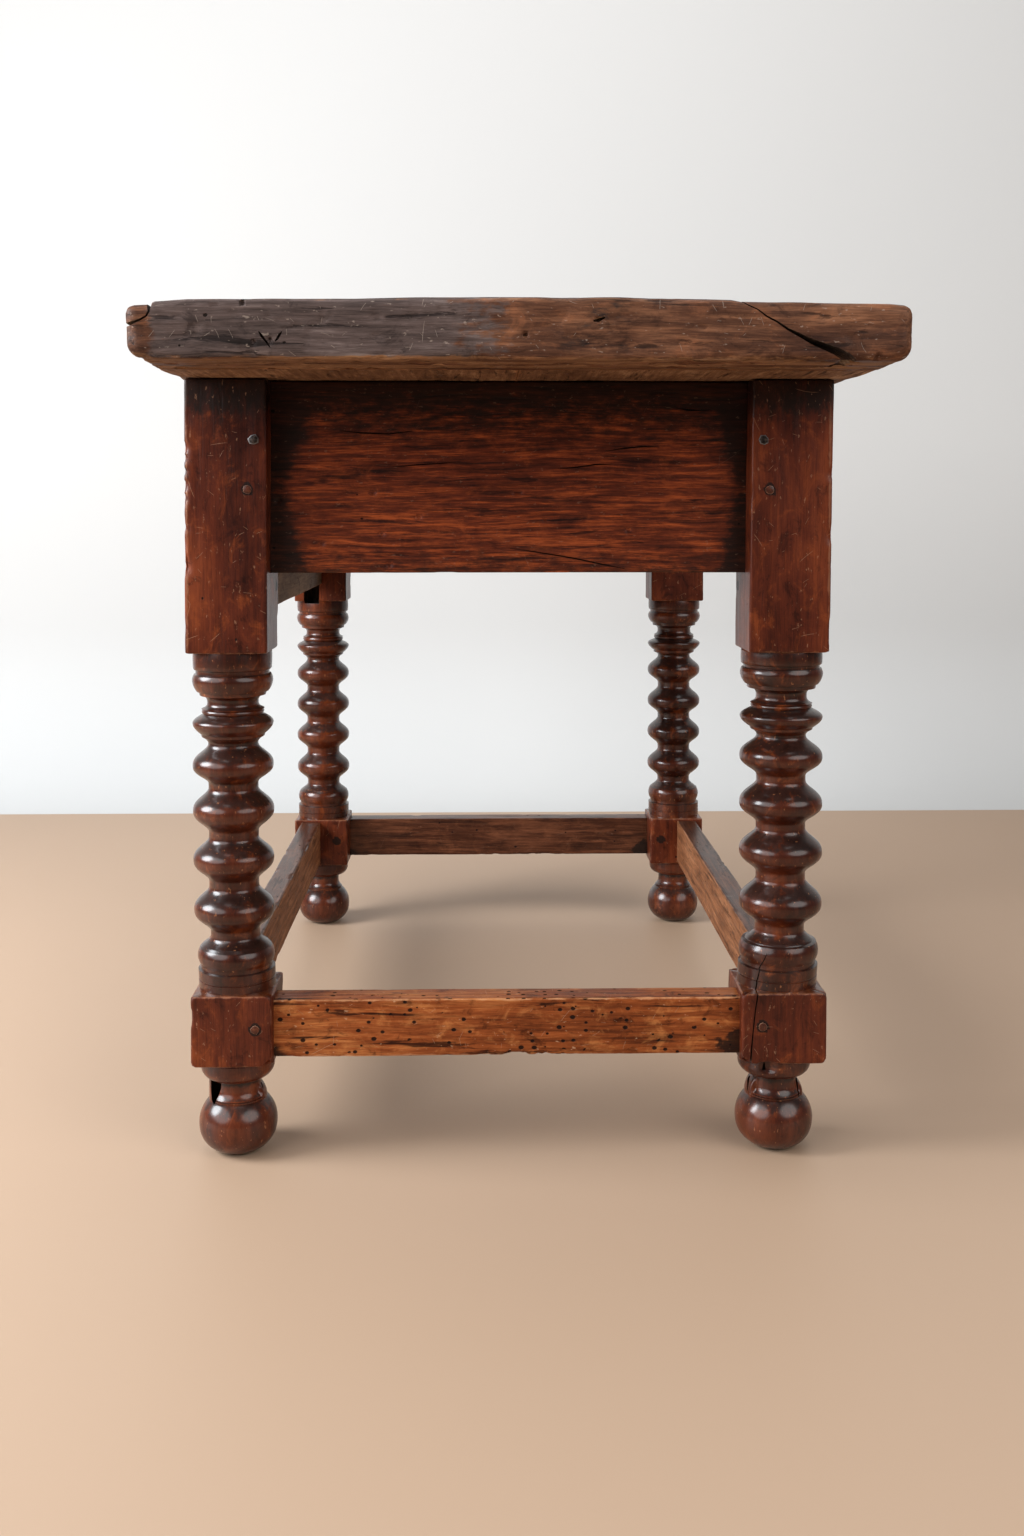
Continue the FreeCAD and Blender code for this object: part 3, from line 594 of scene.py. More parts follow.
def forgedIron():
    made, tree, shader = newFinish("forgedIron")
    made["slot"] = "forged_iron"
    place = addNode(tree, "ShaderNodeAttribute", attribute_name="grainAt").outputs["Vector"]
    edge = addNode(tree, "ShaderNodeAttribute", attribute_name="edge").outputs["Fac"]
    rust = grainNoise(place, (420, 420, 420), 5, 0.65)
    worn = useGroup(raggedGroup, {"Place": place, "Soft": edge, "Start": 0.5, "Break": 0.4})["Mask"]
    tones = ((0.014, 0.012, 0.012), (0.04, 0.03, 0.026), (0.09, 0.04, 0.022))
    tone = mixTones(worn, toneRamp(rust, (0.35, 0.55, 0.7), tones), (0.16, 0.15, 0.15, 1))
    feed(shader, {"Base Color": tone, "Metallic": between(rust, 0.7, 0.3),
                  "Roughness": calc("MULTIPLY_ADD", rust, 0.5, 0.5), "Normal": raised(rust, 0.6, 0.4 * mm)})
    return made


ironNail = forgedIron()
print("finishes ready")


# Sawn and planed timbers: a rounded box grid, hewn a little inwards, with bites out of its edges
timberSpec = {
    "rim": 6 * mm, "roundSwing": 0.35, "roundPitch": 45 * mm, "hewnPitch": 22 * mm, "hewnAlong": 0.16,
    "bite": 0, "bitePitch": 13 * mm, "biteAlong": 0.4, "biteReach": 3 * mm, "edgeReach": 5 * mm,
    "loose": ((0, 0, 0), (0, 0, 0)), "dents": (), "cuts": (),
}


def edgeDistance(places, low, high):
    gaps = np.sort(np.minimum(places - low, high - places), axis=1)
    return gaps[:, 1]


def timber(node, low, high, finish, spec, body="table"):
    spec = {**timberSpec, **spec}
    low, high = np.array(low, float), np.array(high, float)
    points, quads = boxSurface([spaced(low[i], high[i], spec["step"], spec["rim"]) for i in range(3)])
    seed, radius = spec["seed"], spec["radius"]
    radius = radius(points, low, high) if callable(radius) else np.full(len(points), radius)
    radius = radius * (1 + spec["roundSwing"] * layeredNoise(points / spec["roundPitch"], 2, seed))
    outerLow, outerHigh = (np.array(v) * mm for v in spec["loose"])
    core = np.clip(points, low - outerLow + radius[:, None], high + outerHigh - radius[:, None])
    off = points - core
    length = np.maximum(np.linalg.norm(off, axis=1), 1e-9)
    points = np.where(length[:, None] > radius[:, None], core + off / length[:, None] * radius[:, None], points)
    if "warp" in spec:
        points = spec["warp"](points)
    facing = normalsOf(points, quads)
    first = axisOf[spec["grain"]]
    along = np.ones(3)
    along[first] = spec["hewnAlong"]  # the surface rolls slowly along the grain
    wave = 0.5 + 0.5 * layeredNoise(points * along / spec["hewnPitch"], 3, seed + 5) / 1.6
    depth = spec["hewn"] * np.clip(wave, 0, 1)
    near = np.exp(-edgeDistance(points, low, high) / spec["biteReach"])
    along[first] = spec["biteAlong"]
    bite = layeredNoise(points * along / spec["bitePitch"], 3, seed + 11)
    depth += spec["bite"] * near * ease(0.35, 0.95, bite)
    for middle, size, deep in spec["dents"]:
        away = np.linalg.norm((points - np.array(middle)) / np.array(size), axis=1)
        depth += deep * ease(1.0, 0.35, away)
    if "shape" in spec:
        depth += spec["shape"](points, facing)
    points = points - facing * depth[:, None]
    piece = newPiece(node, points, quads)
    piece.data.materials.append(finish)
    cutAway(piece, spec["cuts"])

    def looks(places, faces):
        found = {"edge": np.exp(-edgeDistance(places, low, high) / spec["edgeReach"])}
        for key in ("soil", "raw", "grey"):
            if key in spec:
                found[key] = spec[key](places, faces)
        return found

    return dress(piece, finish, body, node, spec["grain"], seed, looks)


pegPlaces = []  # middle, direction and radius of every peg in the legs
for node in ("apron_pegs", "rail_pegs", "stretcher_pegs"):
    for low, high in looseParts(node):
        size = np.sort(high - low)
        pegPlaces.append(((low + high) / 2, int(np.argmax(high - low)), size[1] / 2))

legBox = {key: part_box("leg_" + key) for key in ("front_near", "front_far", "back_near", "back_far")}
frontInner = legBox["front_near"][1].x  # inner faces of the legs
backInner = legBox["back_near"][0].x
nearInner = legBox["front_near"][1].y
farInner = legBox["front_far"][0].y
tuck = 5 * mm  # how far a timber reaches into the leg that holds it


def span(node, x=None, y=None, z=None):  # a node's box, with its tenons left out
    low, high = (list(v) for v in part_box(node))
    for axis, limits in enumerate((x, y, z)):
        if limits:
            low[axis], high[axis] = limits
    return low, high


betweenX = (frontInner - tuck, backInner + tuck)
betweenY = (nearInner - tuck, farInner + tuck)


def ribbon(line):  # outline of a crack from its places and widths, in metres
    path = np.array([(a, b) for a, b, w in line]) * mm
    ahead = np.gradient(path, axis=0)
    aside = np.stack([-ahead[:, 1], ahead[:, 0]], 1) / np.linalg.norm(ahead, axis=1)[:, None]
    half = np.array([w for a, b, w in line])[:, None] * mm / 2
    return np.concatenate([path + aside * half, (path - aside * half)[::-1]])


def crackCut(line, depth, face):  # (across, height, width) along a crack in a near face
    return prism([(x, face - 3 * mm, z) for x, z in ribbon(line)], (0, depth, 0), splitWood)


def faceDents(marks, spread, depth, face):  # (across, height, width, height of the dent) in a near face
    return [((x * mm, face, z * mm), (wide * mm, spread, tall * mm), depth) for x, z, wide, tall in marks]


# End aprons: painted shade under the top and beside the legs, streaked red below.
# The places of cracks and dents are in millimetres
apronCracks = [[(-5.6, 575.5, 0.5), (25, 571, 1.2), (55, 566, 1.4), (85, 559.5, 1.3), (103, 556, 0.5)],
               [(41, 650.5, 0.5), (58, 652, 1.4), (75, 654.5, 1.6), (92, 655, 0.5)],
               [(-118, 652, 0.4), (-95, 654, 1.2), (-70, 655.5, 1.0), (-55, 657, 0.4)],
               [(-165, 686, 0.5), (-145, 684, 1.6), (-120, 683, 1.4), (-98, 686, 0.5)],
               [(84, 667, 0.4), (104, 670, 1.6), (120, 671.5, 1.6), (136, 671, 0.4)],
               [(150, 708, 0.4), (163, 706, 1.8), (176, 705.5, 1.2), (186, 706.5, 0.4)]]
apronDents = [(-135.2, 628.1, 5, 3), (-126.5, 589.6, 4, 3), (-91.4, 605.3, 4, 3), (-119.5, 559.8, 4, 4),
              (-182.6, 580.1, 3, 3), (-223.5, 620.3, 4, 3), (27.7, 602.5, 3, 2.5), (1.5, 628.1, 7, 3),
              (106.6, 593.0, 4, 3)]
apronSpec = {"crackDepth": 8 * mm, "dentSpread": 6 * mm, "dentDepth": 1.8 * mm}
# painted shade under the top's overhang, fading downwards, then darker again towards the lower edge
apronShadeAndDarkeningAt = (0, 30, 55, 75, 100, 150, 181)  # below the top
apronShadeAndDarkening = (0.62, 0.46, 0.34, 0.17, 0.0, 0.24, 0.4)


def makeEndAprons():
    for end, step, bite in (("near", 2.0 * mm, 1.6 * mm), ("far", 4 * mm, 1.2 * mm)):
        node = "end_apron_" + end
        low, high = span(node, x=betweenX)
        outwards = -1 if end == "near" else 1
        cuts, dents = [], []
        if end == "near":
            cuts = [crackCut(line, apronSpec["crackDepth"], low[1]) for line in apronCracks]
            dents = faceDents(apronDents, apronSpec["dentSpread"], apronSpec["dentDepth"], low[1])

        def soil(p, n):
            # painted shade under the top and in the corners beside the legs
            under = np.interp((high[2] - p[:, 2]) / mm, apronShadeAndDarkeningAt, apronShadeAndDarkening)
            sides = ease(low[0] + 45 * mm, low[0] + 4 * mm, p[:, 0])
            sides += ease(high[0] - 36 * mm, high[0] - 2 * mm, p[:, 0])
            return under + 0.5 * sides

        def raw(p, n):
            return np.where(n[:, 1] * outwards < -0.5, 0.8, 0)

        timber(node, low, high, apronWood, {
            "grain": "x", "seed": 3 if end == "near" else 4, "step": step, "radius": 2.2 * mm, "hewn": 0.9 * mm,
            "bite": bite, "soil": soil, "raw": raw, "cuts": cuts, "dents": dents,
        })


def makeBackApron():
    low, high = span("back_apron", y=betweenY)

    def soil(p, n):
        # painted shade under the top
        return 0.45 * ease(high[2] - 60 * mm, high[2], p[:, 2])

    timber("back_apron", low, high, apronWood, {
        "grain": "y", "seed": 6, "step": 4.5 * mm, "radius": 2.2 * mm, "hewn": 0.9 * mm, "bite": 1.2 * mm,
        "soil": soil, "raw": lambda p, n: np.where(n[:, 0] < -0.5, 0.8, 0),
    })


# Rails and divider of the drawer side, raw behind
def makeDrawerFrame():
    for node, seed in (("drawer_rail_lower", 8), ("drawer_rail_upper", 9)):
        low, high = span(node, y=betweenY)
        timber(node, low, high, blockWood, {
            "grain": "y", "seed": seed, "step": 4 * mm, "radius": 1.6 * mm, "hewn": 0.6 * mm, "bite": 1.4 * mm,
            "raw": lambda p, n: np.where((n[:, 0] > 0.4) | (n[:, 2] < -0.6), 0.85, 0),
        })
    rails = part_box("drawer_rail_lower")[1].z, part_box("drawer_rail_upper")[0].z
    low, high = span("drawer_divider", z=(rails[0] - tuck, rails[1] + tuck))
    timber("drawer_divider", low, high, blockWood, {
        "grain": "z", "seed": 10, "step": 4 * mm, "radius": 1.4 * mm, "hewn": 0.4 * mm, "bite": 1 * mm,
        "raw": lambda p, n: np.where(n[:, 0] > -0.4, 0.85, 0),
    })


# Strips inside the drawer space
def makeBearers():
    seed = 20
    xs = (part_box("drawer_rail_lower")[1].x - tuck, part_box("back_apron")[0].x + tuck)
    for kind in ("runner", "guide", "kicker"):
        for where in ("near", "centre", "far"):
            node = kind + "_" + where
            low, high = span(node, x=None if kind == "guide" else xs)
            seed += 1
            timber(node, low, high, rawWood, {
                "grain": "x", "seed": seed, "step": 6 * mm, "radius": 1.2 * mm, "rim": 3 * mm, "hewn": 0.2 * mm,
                "bite": 0.6 * mm,
            })


# Floor stretchers. The near one is the most worn, gnawed along its lower edge
stretcherSpec = {"gnawedAt": 25 * mm, "gnawedDepth": {"near": 3.8 * mm, "far": 1 * mm}, "darkOver": 40 * mm}


def makeStretchers():
    for end, step, finish in (("near", 1.6 * mm, stretcherWood), ("far", 3 * mm, sideWood)):
        node = "end_stretcher_" + end
        low, high = span(node, x=betweenX)
        gnawed = stretcherSpec["gnawedAt"]

        def shape(p, n):
            below = ease(low[2] + 7 * mm, low[2], p[:, 2])
            there = ease(95 * mm, 40 * mm, np.abs(p[:, 0] - gnawed))
            bites = ease(0.0, 0.7, layeredNoise(p / (11 * mm), 3, 77))
            return stretcherSpec["gnawedDepth"][end] * below * there * bites

        def soil(p, n):
            # darker at both ends, along the lower edge and at its lower left corner, with a dark knot low near the
            # right end
            ends = ease(low[0] + 22 * mm, low[0] + 2 * mm, p[:, 0])
            ends += ease(high[0] - 55 * mm, high[0] - 4 * mm, p[:, 0])
            below = ease(low[2] + 20 * mm, low[2], p[:, 2])
            knot = np.hypot((p[:, 0] - high[0] + 12 * mm) / (17 * mm), (p[:, 2] - low[2] - 10 * mm) / (15 * mm))
            knot = ease(1.1, 0.3, knot + 0.45 * layeredNoise(p / (7 * mm), 3, 78))
            corner = below * ease(low[0] + 70 * mm, low[0] + 12 * mm, p[:, 0])
            bitten = 0.2 * below * ease(0, stretcherSpec["darkOver"], p[:, 0] + gnawed)
            return 0.35 * ends * (0.5 + 0.5 * below) + bitten + 0.5 * knot + 0.4 * corner

        timber(node, low, high, finish, {
            "grain": "x", "seed": 31 if end == "near" else 32, "step": step, "radius": 2.4 * mm,
            "hewn": 1.1 * mm, "bite": 1.8 * mm, "shape": shape, "soil": soil, "edgeReach": 3.2 * mm,
        })
    for side, seed in (("front", 33), ("back", 34)):
        node = "side_stretcher_" + side
        low, high = span(node, y=betweenY)
        inner = 1 if side == "front" else -1

        def raw(p, n):
            return np.where(n[:, 0] * inner > 0.6, 0.62, 0)

        timber(node, low, high, sideWood, {
            "grain": "y", "seed": seed, "step": 3 * mm, "radius": 2.4 * mm, "hewn": 1.0 * mm, "bite": 2.4 * mm,
            "raw": raw, "soil": lambda p, n: 0.3 * ease(low[2] + 16 * mm, low[2], p[:, 2]),
        })


makeEndAprons()
makeBackApron()
makeDrawerFrame()
makeBearers()
makeStretchers()
print("frame timbers ready")


# The top: two boards and two end cleats, rounded off by wear
topSpec = {
    "upperRound": 7.5 * mm, "sideRound": 13 * mm, "endRound": 6 * mm,
    "splitDepth": 62 * mm, "cornerDepth": 36 * mm, "gougeDepth": 9 * mm, "holeSpread": 9 * mm, "holeDepth": 3.5 * mm,
}


def topRadius(places, low, high):
    share = np.clip((places[:, 2] - low[2]) / (high[2] - low[2]), 0, 1)
    atSide = ease(cadHigh.x - 40 * mm, cadHigh.x - 8 * mm, np.abs(places[:, 0]))
    lower = topSpec["endRound"] + (topSpec["sideRound"] - topSpec["endRound"]) * atSide
    return lower + (topSpec["upperRound"] - lower) * share


# The split runs down from the upper edge and opens towards the lower one
splitLine = [(170, 787, 1.0), (176, 783, 1.0), (184.5, 777.5, 1.1), (191, 774.5, 1.0), (199, 768.5, 1.5),
             (207, 764.5, 1.5), (216, 758.5, 2.2), (226, 753.5, 3.2), (236, 748.5, 4.4), (246, 744.5, 5.6),
             (256, 740.5, 6.6), (264, 736.5, 7.4), (272, 731, 6.0), (280, 727, 4.0)]
# The loose splinter at the near front corner, outlined by a crack below and behind it
cornerLine = [(-325, 760, 3.4), (-314, 762.2, 2.8), (-307, 764.6, 1.8), (-302, 767.5, 1.5), (-299.6, 771.5, 1.8),
              (-299.6, 776, 3.6), (-300.4, 783, 6.5)]
# Short slanting gouges in the end face
gouges = [[(-211.8, 755.5, 0.8), (-209.5, 752.0, 2.2), (-206.0, 747.5, 1.6), (-202.6, 742.4, 0.7)],
          [(-198.8, 747.6, 0.8), (-197.0, 749.5, 2.0), (-195.0, 753.0, 2.0), (-193.2, 755.4, 0.7)],
          [(58.0, 764.5, 1.4), (62.0, 765.5, 3.0), (67.5, 767.5, 1.6)],
          [(-226.0, 780.5, 1.0), (-222.0, 782.0, 2.4), (-218.0, 781.5, 1.2)]]
# Small holes in the end face
endHoles = [(62.5, 765.5, 3.2, 3.2), (3, 753.5, 3, 3), (-225, 779, 2.4, 2.4), (-216, 747, 2.6, 2.6),
            (-203, 749, 2.6, 2.6), (290, 734.5, 4, 4)]
# Fall of the warped upper edge below the highest place
crownAt = (-320, -301, -296, -270, -150, -75, 80, 150, 171, 178, 300, 320)
crownFall = (7.5, 6.6, 4.0, 2.4, 1.4, 0.1, 0.1, 1.2, 1.8, 3.2, 4.2, 5.5)


def crownDrop(p, low, high, turned=1):  # fall of the upper side, fading out towards the lower one
    fall = np.interp(turned * p[:, 0] / mm, crownAt, crownFall) * mm
    return fall * ease(low[2] + 12 * mm, high[2] - 2 * mm, p[:, 2])


def makeTop():
    for end in ("near", "far"):
        node = "end_cleat_" + end
        low, high = span(node)
        outer = low[1] if end == "near" else high[1]
        inwards = 1 if end == "near" else -1

        def warp(p):  # the upper side is warped, highest in the middle
            return p - np.outer(crownDrop(p, low, high, inwards), (0, 0, 1))

        def stain(p):  # a dark patch right of the middle
            return ease(0.045, 0.01, np.abs(p[:, 0] - 0.062 + 0.03 * layeredNoise(p / 0.03, 3, 6)))

        def grey(p, n):  # the end face is weathered grey on its front half
            face = ease(0.3, 0.75, -n[:, 1] * inwards)
            left = ease(0.02, -0.07, p[:, 0] + 0.03 * layeredNoise(p / 0.05, 2, 5))
            left *= ease(-0.312, -0.29, p[:, 0])
            return face * np.maximum(0.75 * left, 0.24 * stain(p)) + 0.5 * (n[:, 2] > 0.8)

        def raw(p, n):  # bare wood under the rim
            bare = 0.58 + 0.35 * layeredNoise(p * (0.15, 1, 1) / (20 * mm), 3, 17)
            return bare * ease(-0.3, -0.85, n[:, 2])

        def soil(p, n):
            # painted shade on the underside, growing deeper under the top, and a real dark stain on the end face
            under = ease(-0.6, -0.95, n[:, 2]) * ease(30 * mm, 90 * mm, np.abs(p[:, 1] - outer))
            return 0.35 * under + 0.34 * stain(p) * ease(0.3, 0.75, -n[:, 1] * inwards)

        def shape(p, n):  # dented end face and ragged bites along the lower rim
            below = ease(low[2] + 12 * mm, low[2], p[:, 2])
            bites = 1.8 * mm * below * ease(0.2, 0.9, layeredNoise(p / (17 * mm), 3, 91))
            face = ease(0.4, 0.8, np.abs(n[:, 1]))
            knocks = 0.9 * mm * face * ease(0.25, 0.9, layeredNoise(p * (0.55, 1, 1) / (8 * mm), 3, 93))
            hollow = 1.4 * mm * face * ease(0.1, 0.8, layeredNoise(p * (0.3, 1, 1) / (34 * mm), 2, 94))
            return bites + knocks + hollow

        cuts, dents = [], []
        if end == "near":
            cracks = [(splitLine, topSpec["splitDepth"]), (cornerLine, topSpec["cornerDepth"])]
            cracks += [(gouge, topSpec["gougeDepth"]) for gouge in gouges]
            cuts = [crackCut(line, depth, low[1]) for line, depth in cracks]
            dents = faceDents(endHoles, topSpec["holeSpread"], topSpec["holeDepth"], low[1])
        timber(node, low, high, topWood, {
            "grain": "x", "seed": 41 if end == "near" else 42, "step": 1.9 * mm if end == "near" else 4 * mm,
            "radius": topRadius, "rim": 15 * mm, "hewn": 1.3 * mm, "bite": 1.5 * mm, "biteReach": 5 * mm,
            "edgeReach": 7 * mm, "grey": grey, "raw": raw, "soil": soil, "shape": shape, "dents": dents,
            "cuts": cuts, "warp": warp,
            "loose": ((0, 20 if end == "far" else 0, 0), (0, 20 if end == "near" else 0, 0)),
        })
    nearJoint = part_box("end_cleat_near")[1].y
    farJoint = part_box("end_cleat_far")[0].y
    for side in ("front", "back"):
        node = "top_board_" + side
        low, high = span(node, y=(nearJoint + 0.4 * mm, farJoint - 0.4 * mm))
        loose = ((0 if side == "front" else 20, 20, 0), (20 if side == "front" else 0, 20, 0))

        def warp(p):  # flush with the warped cleats at its ends
            ends = ease(0.22, 0.0, np.minimum(p[:, 1] - low[1], high[1] - p[:, 1]))
            return p - np.outer(crownDrop(p, low, high) * (0.5 + 0.5 * ends), (0, 0, 1))

        def grey(p, n):
            return 0.6 * (n[:, 2] > 0.7) * (0.6 + 0.4 * layeredNoise(p / 0.12, 2, 8))

        timber(node, low, high, topWood, {
            "grain": "y", "seed": 43 if side == "front" else 44, "step": 5 * mm, "radius": topRadius,
            "rim": 15 * mm, "hewn": 1.0 * mm, "bite": 1.2 * mm, "biteReach": 5 * mm, "edgeReach": 7 * mm,
            "grey": grey, "warp": warp, "loose": loose,
            "raw": lambda p, n: 0.6 * ease(-0.5, -0.9, n[:, 2]),
        })


makeTop()
print("top ready")


# Legs: one closed loft each, square blocks that pass into the turned shaft and the bun foot
legSpec = {
    "half": 38 * mm, "corner": 2.8 * mm, "neck": 23.5 * mm, "beads": 4, "beadAbove": 21.5 * mm,
    "beadBelow": 20.5 * mm, "beadFullness": 1.3, "lowerHalfHeight": 33.5 * mm, "blockBelowRail": 25 * mm,
    "unevenness": 0.009, "crestReach": 9 * mm, "hewn": 0.6 * mm, "hewnPitch": 16 * mm, "bite": 2.4 * mm,
    "bitePitch": 14 * mm, "biteReach": 4 * mm,
}
# Heights of the mouldings as drawn, in millimetres
drawnHeights = (463, 459, 451, 443, 438, 424, 418, 412, 402, 398.5, 394, 371, 348, 325, 302, 279, 256, 233, 210)
# Every leg was turned by hand: its own heights, radius, sideways drift up the leg and rest of the foot's cup.
# What is left of a cup is (direction, half spread, radius, lower and upper height, inward taper)
legOwn = {
    "front_near": {
        "heights": (461, 456.5, 449, 440, 436, 423, 418, 410, 400, 396.5, 391, 368.5, 349, 325.5, 302, 279, 255,
                    231, 207.5),
        "turned": 38.1 * mm, "drum": 36.2 * mm, "lowerHalf": 38.5 * mm, "seed": 51, "step": 2.4 * mm,
        "drift": ((0, 0.4), (158, 0.5), (200, -1.0), (240, -2.4), (500, -2.7), (600, -2.3), (733, -1.7)),
        "cup": ((math.pi - 0.4, 1.05, 27.6 * mm, 50 * mm, 70 * mm, 0),
                (0.15, 0.6, 27.4 * mm, 50 * mm, 63 * mm, 5 * mm)),
    },
    "back_near": {
        "heights": (465, 461.5, 454.5, 446, 441.5, 427, 422.5, 414.5, 405, 402, 397, 375, 354, 329.7, 308, 283.5,
                    260, 234, 210),
        "turned": 39.4 * mm, "drum": 37.9 * mm, "lowerHalf": 40.4 * mm, "seed": 52, "step": 2.4 * mm,
        "drift": ((0, -4.0), (80, -4.0), (95, -2.0), (158, -1.8), (175, -0.7), (230, 1.5), (500, 1.4),
                  (600, 2.3), (733, 3.6)),
        "cup": ((math.pi, 0.55, 28.2 * mm, 50 * mm, 66 * mm, 5.5 * mm),
                (0.0, 0.5, 27.8 * mm, 50 * mm, 63 * mm, 5 * mm)),
    },
    "front_far": {
        "heights": (462, 458, 450, 442, 437, 424, 418, 411, 401, 397.5, 392, 369, 347, 324, 301, 278, 255,
                    231, 208),
        "turned": 38.0 * mm, "drum": 36.5 * mm, "lowerHalf": 38.5 * mm, "seed": 53, "step": 3.2 * mm,
        "drift": ((0, 0.0), (733, -0.8)), "cup": (),
    },
    "back_far": {
        "heights": (464, 460, 453, 445, 440, 426, 420, 414, 404, 400, 396, 373, 351, 327, 305, 281, 258,
                    234, 211),
        "turned": 38.4 * mm, "drum": 36.8 * mm, "lowerHalf": 38.5 * mm, "seed": 54, "step": 3.2 * mm,
        "drift": ((0, 0.0), (733, 0.8)), "cup": (),
    },
}


def roundedSquare(half, corner, angles):  # distance from the middle to a rounded square's outline
    across, up = np.cos(angles), np.sin(angles)
    plain = half / np.maximum(np.abs(across), np.abs(up))
    centre = half - corner
    toward = centre * (np.abs(across) + np.abs(up))
    inside = np.maximum(toward ** 2 - (2 * centre ** 2 - corner ** 2), 0)
    inCorner = np.minimum(np.abs(across), np.abs(up)) * plain > centre
    return np.where(inCorner, toward + np.sqrt(inside), plain)


